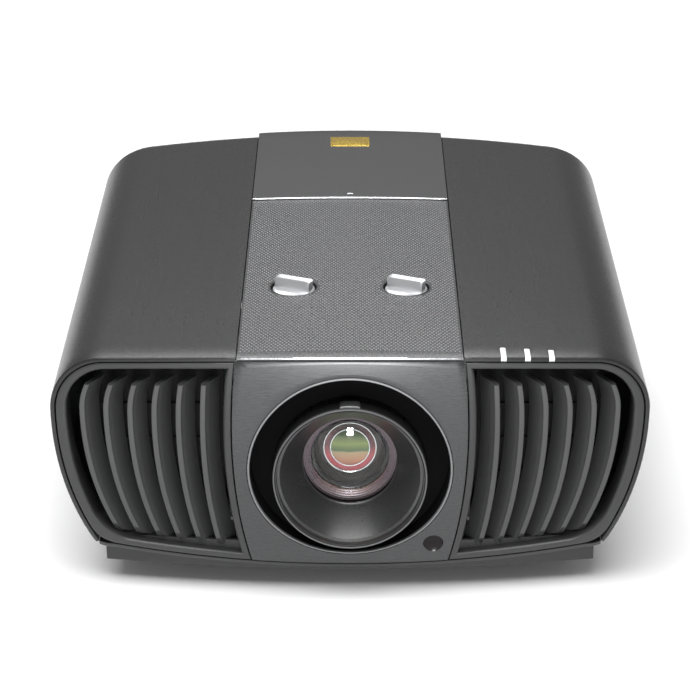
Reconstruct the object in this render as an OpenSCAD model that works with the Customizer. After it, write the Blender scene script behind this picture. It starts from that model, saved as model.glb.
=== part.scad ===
// Large home-cinema projector: separate covers, grilles, shifting lens, light engine, fans and feet.
// Millimetres. +Z is up, the lens looks along -Y, and the origin is on the ground at the middle.

/* [Overall size] */
// Widest width across the two side covers
body_w = 470.7; // [400:0.1:570]
// Depth from the foremost point of the front to the rearmost point of the back
body_d = 564.7; // [540:0.1:680]
// Height of the top beside the centre strip, above the ground
top_z = 215.5; // [208:0.5:260]
// Gap between the ground and the bottom tray
ground_gap = 21; // [17:0.5:26]

/* [Curves of the case] */
// Radius of the crowned top, seen from the front
crown_r = 2600; // [1500:10:5000]
// Radius of the upper corners of the case
corner_r = 46; // [30:1:56]
// Radius of the sides below the corners
side_r = 275; // [240:5:600]
// Radius of the front and the back, seen from above
plan_r = 1140; // [900:10:3000]
// Radius of the front, seen from the side
face_r = 372; // [300:2:800]
// Radius of the back, seen from the side
back_r = 400; // [360:5:1000]
// Height of the foremost line of the front
face_z = 157.5; // [140:0.5:175]
// Rise of the lower edge of the front at grille_edge_x
lower_rise = 11.5; // [4:0.5:16]

/* [Shells] */
// Thickness of the side covers
cover_wall = 3.6; // [2.6:0.1:4.4]
// Thickness of the deck, the front panel, the back panel and the tray
wall = 2.6; // [2:0.1:3.2]
// Visible gap between neighbouring covers
seam = 0.8; // [0.4:0.1:1.2]
// Radial clearance of turning and sliding shafts
shaft_gap = 0.05; // [0.02:0.01:0.1]
// Clearance between curved faces that move past each other
run_gap = 0.35; // [0.3:0.05:0.5]

/* [Centre strip] */
// Width of the centre strip
strip_w = 176; // [160:1:190]
// Length of the textured deck, from the front edge to the rear cover
deck_len = 354; // [330:1:370]
// Height of the rear cover above the deck beside it
rear_cover_proud = 1.6; // [0.5:0.1:2.5]
// Travel of the rear cover when it is unlatched
rear_cover_travel = 14; // [8:1:20]

/* [Lens] */
// Depth of the lens axis below the top
lens_drop = 105.2; // [103:0.1:107]
// Depth of the centre of the panel opening below the top
opening_drop = 96; // [94:0.5:98]
// How far the trim ring stands out of the front panel
trim_proud = 0.25; // [0.1:0.05:0.6]
// Diameter of the opening in the front panel
opening_d = 162; // [156:0.5:164]
// Outer diameter of the focus ring
ring_d = 122; // [116:0.5:124]
// Diameter of the mouth of the barrel, at the bottom of the cone
mouth_d = 75.2; // [70:0.2:80]
// Depth of the cone from the rim to the mouth
cone_depth = 36; // [32:0.5:37]
// Diameter of the front glass
glass_d = 62; // [54:0.5:64]
// Vertical lens shift each way from the middle
shift_v = 5.2; // [3:0.1:5.5]
// Horizontal lens shift each way from the middle
shift_h = 3.8; // [2:0.1:3.9]
// Travel of the front glass each way while focusing
focus_travel = 1.5; // [0.5:0.1:2]
// Travel of the inner glass each way while zooming
zoom_travel = 3; // [1:0.5:3]

/* [Shift knobs] */
// Distance of the knobs from the middle of the deck
knob_x = 46.2; // [40:0.2:52]
// Distance of the knobs behind the front top edge
knob_back = 143; // [130:1:160]
// Diameter of the round wells
well_d = 38; // [34:0.5:42]
// Height of the grip bar above the deck
knob_h = 8.3; // [6:0.1:10]
// Length of the grip bar
bar_len = 31; // [26:0.5:32]
// Thickness of the grip bar
bar_t = 8; // [6:0.5:10]
// Angle of the grip bars across the deck
bar_angle = -24; // [-45:1:45]
// Diameter of the knob shafts
shaft_d = 10; // [8:0.5:11]

/* [Grilles] */
// Number of vanes on each side
vane_count = 6; // [4:1:8]
// Thickness of a vane
vane_t = 3.4; // [2.4:0.1:4.5]
// Depth of a vane from its front edge to its back edge
vane_depth = 17.5; // [12:0.5:20]
// Inward lean of a vane over its depth
vane_lean = 10.7; // [6:0.1:14]

/* [Feet and mounting] */
// Side to side distance of the ceiling-bracket holes
mount_dx = 220; // [180:1:240]
// Front to back distance of the ceiling-bracket holes
mount_dy = 300; // [260:1:320]
// Diameter of the ceiling-bracket holes
mount_hole_d = 5; // [4:0.1:6]
// Diameter of the foot pads
foot_d = 32; // [26:1:36]
// Diameter of the foot screws
foot_screw_d = 8; // [6:0.5:9]
// Diameter of the tray screws
tray_screw_d = 3.2; // [2.5:0.1:3.6]

/* [Hidden] */
$fn = 96;
half_w = body_w / 2;
strip_hw = strip_w / 2;
hair = 0.02;
opening_z = top_z - opening_drop;
// The round opening cuts the foremost part out of the front, so the front is drawn this much further out
front_relief = min([for (a = [0:5:90])
    let (x = opening_d / 2 * cos(a), dz = opening_z + opening_d / 2 * sin(a) - face_z)
    x * x / (2 * plan_r) + dz * dz / (2 * face_r)]) - trim_proud;
front_y = -body_d / 2 - front_relief;
back_y = body_d / 2;
// Centre of the crown circle and of the corner circles
crown_c = top_z - sqrt(crown_r * crown_r - strip_hw * strip_hw);
corner_cx = half_w - corner_r;
corner_cz = crown_c + sqrt(pow(crown_r - corner_r, 2) - corner_cx * corner_cx);
corner_a = asin(corner_cx / (crown_r - corner_r));
back_z = top_z - 92;
// Front top edge beside the strip, and the planes that follow from it
edge_y = front_y + plan_r - sqrt(plan_r * plan_r - strip_hw * strip_hw)
    + face_r - sqrt(face_r * face_r - pow(top_z - face_z, 2));
deck_end_y = edge_y + deck_len;
tray_top_z = ground_gap + wall;
lower_z = ground_gap + 7;
grille_edge_x = 185;
lower_r = (grille_edge_x * grille_edge_x + lower_rise * lower_rise) / (2 * lower_rise);
cover_bottom_z = ground_gap + 19;
tray_hw = half_w - 37.5;
tray_rim_z = cover_bottom_z + 5;
tray_front_set = 28;
tray_back_set = 14;
mid_z = (corner_cz + ground_gap) / 2;

// Lens planes, from the rim of the focus ring backwards
lens_z = top_z - lens_drop;
rim_y = front_y + 7.9;
ring_r = ring_d / 2;
mouth_r = mouth_d / 2;
ring_wall = 1.5;
cell_r = mouth_r + 0.7;
ring_len = 14.3;
hood_r = ring_r - ring_wall - run_gap;
sleeve_y = rim_y + 25;
mouth_y = rim_y + 0.5 + cone_depth;
// Edge of the hood's cone, its slope, and its outer radius where it meets the sleeve
cone_r = hood_r - 1.2;
cone_slope = (cone_r - mouth_r) / cone_depth;
cone_back_r = mouth_r + cone_slope * (mouth_y - sleeve_y) + ring_wall;
sleeve_r = cone_back_r + 6.4;
barrel_r = sleeve_r - 2;
barrel_end_y = rim_y + 84.5;
tail_r = 28;
// Room that a shifting part of the lens needs around it
shift_reach = norm([shift_v, shift_h]) + 1;
tail_end_y = barrel_end_y + 12;
shroud_y = sleeve_y + 1;
carriage_y = rim_y + 33.5;
carriage_t = 10;
frame_y = carriage_y + carriage_t + 1;
frame_t = 12;
base_y = frame_y + frame_t + 4;
base_t = 6;
rod_r = 4;
rod_v_x = 86;
rod_h_dz = 56;
lug_x = 71;

// Knobs and their drives
knob_y = edge_y + knob_back;
knob_deck_z = crown_c + sqrt(crown_r * crown_r - knob_x * knob_x);
shaft_r = shaft_d / 2;
well_depth = 10;
knob_low_z = knob_deck_z - well_depth + 1.4;
arm_z = lens_z + 66;
arm_t = 6;
shelf_z = lens_z + 42;
shelf_t = 6;
pinion_teeth = 10;
pinion_m = 1;
pinion_r = pinion_teeth * pinion_m / 2;

// Grilles
grille_in_x = 92.1;
panel_wide_z = top_z - 65.5;
panel_side_r = 540;
frame_top = 5.8;
frame_side = 8.8;
frame_low = 7;
frame_in = 6;
frame_depth = 26;
cover_lip = cover_wall + seam;
vane_set_back = 6;
vane_first = 25;
// Status light pipes: places across the right-hand cover, width, and length along the top
pipe_xs = [118.8, 137.6, 156.4];
pipe_w = 4.6;
pipe_len = 22;
// Width of the silver ring round the lens opening
trim_w = 2.2;
// Lip under the front: its height, and its half width
lip_h = 4;
lip_hw = 203;
// Window of the remote-control receiver
ir_d = 16;
ir_x = 66.5;
ir_z = lower_z + 21.3;
// Thickness of the rear cover below the level of the deck
rear_cover_under = 1;

// Inner layout
engine_y0 = tail_end_y - 8;
engine_y1 = engine_y0 + 126;
engine_hw = 66;
engine_z0 = ground_gap + 19;
engine_z1 = shelf_z - 4;
board_lift = 8;
board_t = 1.6;
light_x = -42;
fan_size = 92;
fan_t = 25;
fan_x = half_w - 76;
fan_z = mid_z + 8;
fan_y = front_y + 78;
filter_y = front_y + 68;
board_z = ground_gap + 13;
lamp_y0 = deck_end_y + 18;
foot_front = [half_w - 85, front_y + 104];
foot_rear = [half_w - 90, back_y - 84];
foot_screw_r = foot_screw_d / 2;
foot_travel = 20;
// The hooks of the rear cover stop short of the back panel by its travel
rear_lip_y = back_at(strip_hw, top_z, wall) - rear_cover_travel - 1;
screw_spots = [for (sx = [-1, 1]) for (y = [front_y + 140, 20, back_y - 50]) [sx * (tray_hw - 12), y]];
key_z = mid_z + 42;
key_x = half_w - 95;
key_depth = 8;
// Keys: place about the keypad centre, and radius
keys = [[0, 0, 17], [-42, 10, 6.5], [-42, -12, 4.5], [42, -12, 4.5]];
jack_z = board_z + board_t;
jack_lift = 8;
// Rear sockets: place across the back, width and height
jacks = [
    [-150, 16, 16], [-124, 15, 6.4], [-98, 15, 6.4], [-70, 16, 14],
    [-42, 8, 13], [-8, 31, 12.5], [34, 12, 12], [58, 12, 12]];
inlet_w = 28;
inlet_h = 21;
inlet_x = half_w - 75;
inlet_z = ground_gap + 38;

// ---- Shapes of the case ----

// Right half of the case, seen from the front: crown, corner and side, cut off level at z_low.
// in_top and in_side set the outline inwards at the crown and at the side.
function half_outline(in_top, in_side, z_low) =
    let (low_a = asin((corner_cz - z_low) / (side_r - in_side)))
    concat(
        [for (k = [0:6]) let (a = corner_a * k / 6)
            [(crown_r - in_top) * sin(a), crown_c + (crown_r - in_top) * cos(a)]],
        [for (k = [1:9]) let (a = corner_a + (90 - corner_a) * k / 9, r = corner_r - in_top
                + (in_top - in_side) * k / 9)
            [corner_cx + r * sin(a), corner_cz + r * cos(a)]],
        [for (k = [1:9]) let (a = low_a * k / 9)
            [half_w - side_r + (side_r - in_side) * cos(a), corner_cz - (side_r - in_side) * sin(a)]]);

function flip_x(points) = [for (k = [len(points) - 1:-1:0]) [-points[k][0], points[k][1]]];

// Whole outline of the case, from the lower left, over the top, to the lower right
function outline(inset, z_low) =
    let (half = half_outline(inset, inset, z_low))
    concat([for (p = flip_x(half)) if (p[0] < -hair) p], half);

// Height of the curved lower edge of the front
function lower_edge(x) = lower_z + lower_r - sqrt(lower_r * lower_r - x * x);

// Half width of the front panel at a height
function panel_edge(z) = grille_in_x - pow(z - panel_wide_z, 2) / (2 * panel_side_r);

// Where the front surface lies at a place on it, set back by depth
function front_at(x, z, depth) =
    let (reach = plan_r - face_r + sqrt(pow(face_r - depth, 2) - pow(z - face_z, 2)))
    front_y + plan_r - sqrt(reach * reach - x * x);

// Where the back surface lies at a place on it, set in by depth
function back_at(x, z, depth) =
    let (reach = plan_r - back_r + sqrt(pow(back_r - depth, 2) - pow(z - back_z, 2)))
    back_y - plan_r + sqrt(reach * reach - x * x);

// Solid of everything behind the double-curved front, set back by depth
module behind_front(depth) {
    steps = 10;
    low = -10;
    high = top_z + 20;
    ring = [for (k = [0:steps]) let (z = low + (high - low) * k / steps)
        [plan_r - face_r + sqrt(pow(face_r - depth, 2) - pow(z - face_z, 2)), z]];
    translate([0, front_y + plan_r, 0])
        rotate_extrude($fn = 360)
            polygon(concat([[10, low], ring[0]], [for (k = [1:steps]) ring[k]], [[10, high]]));
}

// Solid of everything in front of the curved back, set in by depth
module ahead_of_back(depth) {
    steps = 6;
    low = -10;
    high = top_z + 20;
    ring = [for (k = [0:steps]) let (z = low + (high - low) * k / steps)
        [plan_r - back_r + sqrt(pow(back_r - depth, 2) - pow(z - back_z, 2)), z]];
    translate([0, back_y - plan_r, 0])
        rotate_extrude($fn = 360)
            polygon(concat([[10, low]], ring, [[10, high]]));
}

// Stretch along Y of a shape drawn in X and Z
module along_y(y0, y1) {
    translate([0, y1, 0])
        rotate([90, 0, 0])
            linear_extrude(y1 - y0)
                children();
}

module box_between(a, b) {
    translate(a)
        cube(b - a);
}

module ring_y(y0, y1, r_in, r_out, z = lens_z) {
    translate([0, y1, z])
        rotate([90, 0, 0])
            difference() {
                cylinder(r = r_out, h = y1 - y0);
                translate([0, 0, -1])
                    cylinder(r = r_in, h = y1 - y0 + 2);
            }
}

// Bore along the lens axis
module bore_y(y0, y1, r) {
    translate([0, y1, lens_z])
        rotate([90, 0, 0])
            cylinder(r = r, h = y1 - y0);
}

// Revolved shape about the lens axis: points are [radius, y]
module turned(points) {
    translate([0, 0, lens_z])
        rotate([-90, 0, 0])
            rotate_extrude()
                polygon(points);
}

// ---- Case ----

// The right-hand side cover: a curved shell over the top corner and the side
module side_cover_shape() {
    outer = half_outline(0, 0, cover_bottom_z);
    inner = half_outline(cover_wall, cover_wall, cover_bottom_z);
    ring = concat(outer, [for (k = [len(inner) - 1:-1:0]) inner[k]]);
    intersection() {
        along_y(front_y - 5, back_y + 5)
            polygon(ring);
        box_between([strip_hw + seam / 2, front_y - 10, 0], [half_w + 10, back_y + 10, top_z + 20]);
        behind_front(0);
        ahead_of_back(3.4);
    }
}

module left_side_cover() {
    color([0.2, 0.2, 0.21])
        mirror([1, 0, 0])
            side_cover_shape();
}

module right_side_cover() {
    color([0.2, 0.2, 0.21])
        difference() {
            side_cover_shape();
            for (x = pipe_xs)
                box_between([x - pipe_w / 2 - 0.15, front_y - 5, top_z - 12],
                    [x + pipe_w / 2 + 0.15, edge_y + pipe_len + 0.15, top_z + 5]);
        }
}

// Strip of the crown between two insets, along the middle of the case
module strip_slab(in0, in1, hw, y0, y1) {
    top = [for (k = [-6:6]) let (x = hw * k / 6) [x, crown_c + sqrt(pow(crown_r - in0, 2) - x * x)]];
    low = [for (k = [6:-1:-6]) let (x = hw * k / 6) [x, crown_c + sqrt(pow(crown_r - in1, 2) - x * x)]];
    along_y(y0, y1)
        polygon(concat(top, low));
}

module shift_deck() {
    color([0.5, 0.51, 0.53])
        difference() {
            union() {
                intersection() {
                    strip_slab(0, wall, strip_hw - seam / 2, front_y - 5, deck_end_y - seam);
                    behind_front(0);
                }
                for (side = [-1, 1])
                    translate([side * knob_x, knob_y, knob_deck_z - well_depth - wall])
                        cylinder(d = well_d + 2 * wall, h = well_depth + wall - 0.5);
                for (side = [-1, 1])
                    box_between([side * (strip_hw - 6) - 1.2, edge_y + 30, top_z - 9],
                        [side * (strip_hw - 6) + 1.2, deck_end_y - 10, top_z - wall + 0.4]);
            }
            for (side = [-1, 1])
                translate([side * knob_x, knob_y, knob_deck_z - well_depth]) {
                    cylinder(d = well_d, h = well_depth + 5);
                    translate([0, 0, -10])
                        cylinder(r = shaft_r + run_gap, h = 20);
                }
        }
}

// Fixed channel under the rear cover, with an edge on each side that the cover's lips hook under
module rear_spine() {
    color([0.15, 0.15, 0.16])
        intersection() {
            union() {
                strip_slab(rear_cover_under + 0.4, rear_cover_under + 3, strip_hw - 6,
                    deck_end_y, back_y + 5);
                for (side = [-1, 1])
                    box_between([side * 40 - 1.5, deck_end_y + 4, top_z - 18],
                        [side * 40 + 1.5, back_y - 12, top_z - rear_cover_under - 1.5]);
            }
            ahead_of_back(4.2);
        }
}
module rear_top_cover() {
    lip_top = top_z - rear_cover_under - 3.6;
    color([0.36, 0.37, 0.38])
        intersection() {
            union() {
                strip_slab(-rear_cover_proud, rear_cover_under, strip_hw - seam / 2, deck_end_y,
                    back_y + 5);
                for (side = [-1, 1]) {
                    box_between([side * (strip_hw - 2) - 1.4, deck_end_y + 4, lip_top - 2],
                        [side * (strip_hw - 2) + 1.4, rear_lip_y, top_z - rear_cover_under + 0.5]);
                    box_between([side * (strip_hw - 4.5) - 3.5, deck_end_y + 4, lip_top - 2],
                        [side * (strip_hw - 4.5) + 3.5, rear_lip_y, lip_top]);
                }
            }
            ahead_of_back(0);
        }
}

// Front panel outline, seen from the front: curved sides, curved lower edge and crowned top
module panel_outline(inset) {
    z_top = top_z - wall - 0.4 - inset;
    z_low = lower_edge(panel_edge(lower_z)) + inset;
    side = [for (k = [0:12]) let (z = z_low + (z_top - z_low) * k / 12) [panel_edge(z) - inset, z]];
    low = [for (k = [-5:5]) let (x = (side[0][0] - 3) * k / 5) [x, lower_edge(x) + inset]];
    polygon(concat(low, side, flip_x(side)));
}

module front_panel() {
    color([0.55, 0.56, 0.58])
        difference() {
            union() {
                intersection() {
                    along_y(front_y - 5, front_y + 60)
                        panel_outline(0);
                    difference() {
                        behind_front(0);
                        behind_front(wall);
                    }
                }
                intersection() {
                    ring_y(front_y - 5, front_y + tray_front_set - 2,
                        opening_d / 2, opening_d / 2 + 3.2, opening_z);
                    behind_front(wall - 0.5);
                }
            }
            translate([0, front_y + 40, opening_z])
                rotate([90, 0, 0])
                    cylinder(d = opening_d, h = 60, $fn = 180);
            translate([ir_x, front_y + 60, ir_z])
                rotate([90, 0, 0])
                    cylinder(d = ir_d + 0.3, h = 80);
        }
}
// Light trim ring lining the opening
module lens_trim_ring() {
    color([0.7, 0.71, 0.73])
        intersection() {
            ring_y(front_y - 5, front_y + 25, opening_d / 2 - trim_w, opening_d / 2 - seam / 4, opening_z);
            behind_front(-trim_proud);
        }
}

module ir_window() {
    y_face = front_at(ir_x, ir_z, 0.4);
    color([0.08, 0.05, 0.06])
        translate([ir_x, y_face + 3, ir_z])
            rotate([90, 0, 0])
                cylinder(d = ir_d, h = 3);
}

// Ring of the right-hand grille frame, seen from the front
module grille_frame_outline() {
    z_floor = lower_edge(grille_edge_x) + 1;
    outer_half = half_outline(cover_lip, cover_lip, z_floor);
    inner_half = half_outline(cover_lip + frame_top, cover_lip + frame_side, z_floor + frame_low);
    difference() {
        grille_area(outer_half, seam, 0);
        grille_area(inner_half, seam + frame_in, frame_low);
    }
}

// Area between the panel's curved edge, the case outline and the curved lower edge
module grille_area(half, gap, lift) {
    rim = [for (p = half) if (p[0] > panel_edge(p[1]) + gap) p];
    x_end = rim[len(rim) - 1][0];
    z_start = lower_edge(panel_edge(lower_z)) + lift;
    low = [for (k = [1:6]) let (x = x_end + (panel_edge(lower_z) + gap - x_end) * k / 6)
        [x, lower_edge(x) + lift]];
    z_top = rim[0][1];
    edge = [for (k = [1:10]) let (z = z_start + (z_top - z_start) * k / 10) [panel_edge(z) + gap, z]];
    polygon(concat(rim, low, edge));
}

module grille_frame_shape() {
    intersection() {
        along_y(front_y - 5, front_y + frame_depth + 24)
            grille_frame_outline();
        difference() {
            behind_front(0.3);
            behind_front(frame_depth);
            tray_block(-0.5, ground_gap, tray_rim_z + 0.5);
        }
    }
}

module left_grille_frame() {
    color([0.3, 0.31, 0.32])
        mirror([1, 0, 0])
            grille_frame_shape();
}

module right_grille_frame() {
    color([0.3, 0.31, 0.32])
        grille_frame_shape();
}

// Distance of a vane's front edge from the middle: the outermost follows the side of the case,
// and the innermost follows the panel's edge
function vane_x(i, z) =
    let (
        out_x = half_w - side_r + sqrt(pow(side_r, 2) - pow(min(0, z - corner_cz), 2)) - vane_first
            - pow(max(0, z - corner_cz), 2) / 90,
        in_x = panel_edge(z) + 23,
        share = i / (vane_count - 1))
    out_x + (in_x - out_x) * share;

function vane_top(i) = top_z - 29 + 5 * i / (vane_count - 1);
function vane_low(i) = lower_edge(vane_x(i, lower_z + 40)) + 15;

// One vane as a stack of eight-sided sections with a rounded front edge
module vane(i) {
    levels = 9;
    half_t = vane_t / 2;
    lean = [-vane_lean, vane_depth];
    along = lean / norm(lean);
    side = [along[1], -along[0]];
    section = [
        for (a = [-60:40:60]) [-cos(a) * half_t + half_t, sin(a) * half_t],
        [norm(lean), half_t * 0.5], [norm(lean), -half_t * 0.5]];
    count = len(section);
    points = [for (k = [0:levels]) let (z = vane_low(i) + (vane_top(i) - vane_low(i)) * k / levels)
        for (p = section)
            let (x = vane_x(i, z), y = front_at(x, z, vane_set_back))
            [x + along[0] * p[0] + side[0] * p[1], y + along[1] * p[0] + side[1] * p[1], z]];
    sides = [for (k = [0:levels - 1]) for (j = [0:count - 1])
        let (a = k * count + j, b = k * count + (j + 1) % count)
        each [[a, a + count, b], [b, a + count, b + count]]];
    low_cap = [for (j = [1:count - 2]) [0, j, j + 1]];
    high_cap = [for (j = [1:count - 2]) [levels * count, levels * count + j + 1, levels * count + j]];
    polyhedron(points, concat(sides, low_cap, high_cap));
}

// Bar behind the vanes that follows the curved front and joins them at one height
module vane_rail(z) {
    steps = 8;
    x0 = panel_edge(z) + seam + frame_in + 0.3;
    x1 = vane_x(0, z) + 6;
    depth = vane_set_back + vane_depth - 1;
    line = [for (k = [0:steps]) let (x = x0 + (x1 - x0) * k / steps) [x, front_at(x, z, depth)]];
    back_line = [for (k = [steps:-1:0]) line[k] + [0, 3]];
    translate([0, 0, z - 1.5])
        linear_extrude(3)
            polygon(concat(line, back_line));
}

module vane_set() {
    union() {
        for (i = [0:vane_count - 1])
            vane(i);
        for (z = [vane_low(0) + 6, vane_top(0) - 8])
            vane_rail(z);
    }
}

module left_grille_vanes() {
    color([0.22, 0.23, 0.24])
        mirror([1, 0, 0])
            vane_set();
}

module right_grille_vanes() {
    color([0.22, 0.23, 0.24])
        vane_set();
}

// Framed dust filter behind a grille
module dust_filter_shape() {
    x0 = grille_in_x + 9;
    x1 = half_w - 32;
    z0 = ground_gap + 34;
    z1 = top_z - 34;
    difference() {
        box_between([x0, filter_y, z0], [x1, filter_y + 6, z1]);
        for (k = [0:3]) {
            cell = (z1 - z0 - 6) / 4;
            box_between([x0 + 4, filter_y - 1, z0 + 4 + cell * k],
                [x1 - 4, filter_y + 4, z0 + 2 + cell * (k + 1)]);
        }
    }
}

module left_dust_filter() {
    color([0.12, 0.12, 0.12])
        mirror([1, 0, 0])
            dust_filter_shape();
}

module right_dust_filter() {
    color([0.12, 0.12, 0.12])
        dust_filter_shape();
}

// Status light pipes in the right-hand cover: along the top, then down the front
module pipe_outline(x) {
    sides = [x - pipe_w / 2, x + pipe_w / 2];
    polygon(concat(
        [for (s = sides) [s, crown_z(s) - 0.1]],
        [for (k = [1, 0]) [sides[k], crown_z(sides[k]) - cover_wall + 0.2]]));
}

module light_pipes() {
    color([0.85, 0.86, 0.88, 0.8])
        for (x = pipe_xs)
            intersection() {
                along_y(front_y - 5, edge_y + pipe_len)
                    pipe_outline(x);
                behind_front(0.1);
            }
}
function crown_z(x) = crown_c + sqrt(crown_r * crown_r - x * x);

// Back panel with cut-outs for the sockets, the power inlet, the keys and the warm air
module rear_panel() {
    color([0.17, 0.17, 0.18])
        difference() {
            intersection() {
                along_y(back_y - 60, back_y + 5)
                    polygon(outline(cover_lip, cover_bottom_z));
                difference() {
                    ahead_of_back(0);
                    ahead_of_back(wall);
                }
            }
            for (jack = jacks)
                box_between([jack[0] - jack[1] / 2 - 0.4, back_y - 60, jack_z + jack_lift],
                    [jack[0] + jack[1] / 2 + 0.4, back_y + 20, jack_z + jack_lift + jack[2] + 0.8]);
            box_between([inlet_x - inlet_w / 2 - 0.3, back_y - 60, inlet_z - inlet_h / 2 - 0.3],
                [inlet_x + inlet_w / 2 + 0.3, back_y + 20, inlet_z + inlet_h / 2 + 0.3]);
            for (k = [0:7])
                box_between([-half_w + 50, back_y - 60, mid_z - 8 + 8 * k],
                    [-half_w + 150, back_y + 20, mid_z - 8 + 8 * k + 4]);
            for (key = keys)
                translate([key_x + key[0], back_y + 20, key_z + key[1]])
                    rotate([90, 0, 0])
                        cylinder(r = key[2] + 0.4, h = 80);
        }
}

// ---- Tray, feet and screws ----

module tray_block(inset, z0, z1) {
    intersection() {
        box_between([-tray_hw + inset, front_y, z0], [tray_hw - inset, back_y, z1]);
        translate([0, front_y + tray_front_set + plan_r, z0 - 1])
            cylinder(r = plan_r - inset, h = z1 - z0 + 2, $fn = 360);
        translate([0, back_y - tray_back_set - plan_r, z0 - 1])
            cylinder(r = plan_r - inset, h = z1 - z0 + 2, $fn = 360);
    }
}

// Curved lip that runs along the whole bottom of the front, a seam below the panel and the grilles
module front_lip() {
    steps = 24;
    top = [for (k = [-steps:steps]) let (x = lip_hw * k / steps)
        [x, min(lower_edge(x), cover_bottom_z) - seam]];
    intersection() {
        along_y(front_y - 5, front_y + tray_front_set + wall)
            polygon(concat(top, [for (k = [len(top) - 1:-1:0]) top[k] - [0, lip_h]]));
        behind_front(seam);
    }
}

module bottom_tray() {
    bosses = concat(
        [for (sx = [-1, 1]) [sx * foot_front[0], foot_front[1], foot_screw_r + 5, 28]],
        [for (sx = [-1, 1]) for (sy = [-1, 1])
            [sx * mount_dx / 2, sy * mount_dy / 2, mount_hole_d / 2 + 5, 9]],
        [for (p = screw_spots) [p[0], p[1], 6, 16]]);
    color([0.13, 0.13, 0.14])
        difference() {
            union() {
                difference() {
                    tray_block(0, ground_gap, tray_rim_z);
                    tray_block(wall, tray_top_z, tray_rim_z + 5);
                    box_between([jacks[0][0] - 12, back_y - 60, jack_z - 1],
                        [jacks[len(jacks) - 1][0] + 12, back_y, tray_rim_z + 5]);
                }
                for (b = bosses)
                    translate([b[0], b[1], ground_gap + 0.5])
                        cylinder(r = b[2], h = b[3] + wall);
                front_lip();
            }
            // Hollow under the shifting lens rings
            bore_y(front_y + tray_front_set - 1, front_y + tray_front_set + wall + 1, ring_r + shift_reach);
            for (sx = [-1, 1]) {
                translate([sx * foot_front[0], foot_front[1], ground_gap - 1])
                    cylinder(r = foot_screw_r + shaft_gap, h = 40);
                for (sy = [-1, 1])
                    translate([sx * mount_dx / 2, sy * mount_dy / 2, ground_gap - 1])
                        cylinder(d = mount_hole_d, h = 12 - 1);
            }
            for (p = screw_spots)
                translate([p[0], p[1], ground_gap - 1]) {
                    cylinder(d = tray_screw_d + 0.3, h = 16);
                    cylinder(r = 4.2, h = 5);
                }
        }
}

module tray_screws() {
    color([0.6, 0.6, 0.62])
        for (p = screw_spots)
            translate([p[0], p[1], ground_gap + 4 - 2.2])
                difference() {
                    union() {
                        cylinder(r = 3.6, h = 2.1);
                        cylinder(d = tray_screw_d, h = 11);
                    }
                    for (a = [0, 90])
                        rotate(a)
                            box_between([-2.2, -0.4, -1], [2.2, 0.4, 1]);
                }
}

// Foot that screws down out of the tray: the pad stays still while the screw turns in it
module foot_pad(side) {
    color([0.1, 0.1, 0.1])
        translate([side * foot_front[0], foot_front[1], 0])
            difference() {
                union() {
                    cylinder(d = foot_d - 4, h = 2);
                    translate([0, 0, 2])
                        cylinder(d1 = foot_d - 2, d2 = foot_d, h = ground_gap - 3);
                }
                translate([0, 0, 8])
                    cylinder(r = foot_screw_r + 2 + shaft_gap, h = ground_gap);
            }
}

module foot_screw(side) {
    color([0.62, 0.62, 0.64])
        translate([side * foot_front[0], foot_front[1], 8 + 0.1]) {
            cylinder(r = foot_screw_r + 2, h = 6);
            cylinder(r = foot_screw_r, h = ground_gap + foot_travel - 2);
        }
}

module left_foot_pad() {
    foot_pad(-1);
}

module left_foot_screw() {
    foot_screw(-1);
}

module right_foot_pad() {
    foot_pad(1);
}

module right_foot_screw() {
    foot_screw(1);
}

module rear_feet() {
    color([0.1, 0.1, 0.1])
        for (side = [-1, 1])
            translate([side * foot_rear[0], foot_rear[1], 0]) {
                cylinder(d = foot_d - 4, h = 2);
                translate([0, 0, 2])
                    cylinder(d1 = foot_d - 2, d2 = foot_d, h = ground_gap - 2);
            }
}

// ---- Lens shift ----

module lens_base_plate() {
    low_z = tray_top_z + 1;
    high_z = lens_z + 94;
    color([0.6, 0.6, 0.62])
        difference() {
            union() {
                box_between([-98, base_y, low_z], [98, base_y + base_t, high_z]);
                for (side = [-1, 1])
                    for (z = [low_z + 4, high_z - 12])
                        box_between([side * rod_v_x - 7, frame_y - 1, z],
                            [side * rod_v_x + 7, base_y + 1, z + 8]);
                box_between([-knob_x - 14, base_y + 1, shelf_z],
                    [knob_x + 14, knob_y + 14, shelf_z + shelf_t]);
            }
            bore_y(base_y - 5, base_y + base_t + 5, 64);
            bore_y(base_y + base_t, barrel_end_y + 3, barrel_r + shift_v + 1.5);
            for (side = [-1, 1]) {
                box_between([side * knob_x - 20, base_y - 5, arm_z - 12],
                    [side * knob_x + 20, base_y + base_t + 5, arm_z + arm_t + shift_v + 3]);
                translate([side * rod_v_x, frame_y + frame_t / 2, low_z - 1])
                    cylinder(r = rod_r + shaft_gap, h = high_z);
                translate([side * knob_x, knob_y, shelf_z - 1])
                    cylinder(r = 3 + shaft_gap, h = shelf_t + 2);
            }
        }
}

module vertical_guide_rods() {
    color([0.75, 0.75, 0.77])
        for (side = [-1, 1])
            translate([side * rod_v_x, frame_y + frame_t / 2, tray_top_z + 3])
                cylinder(r = rod_r, h = lens_z + 92 - tray_top_z - 3);
}

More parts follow.
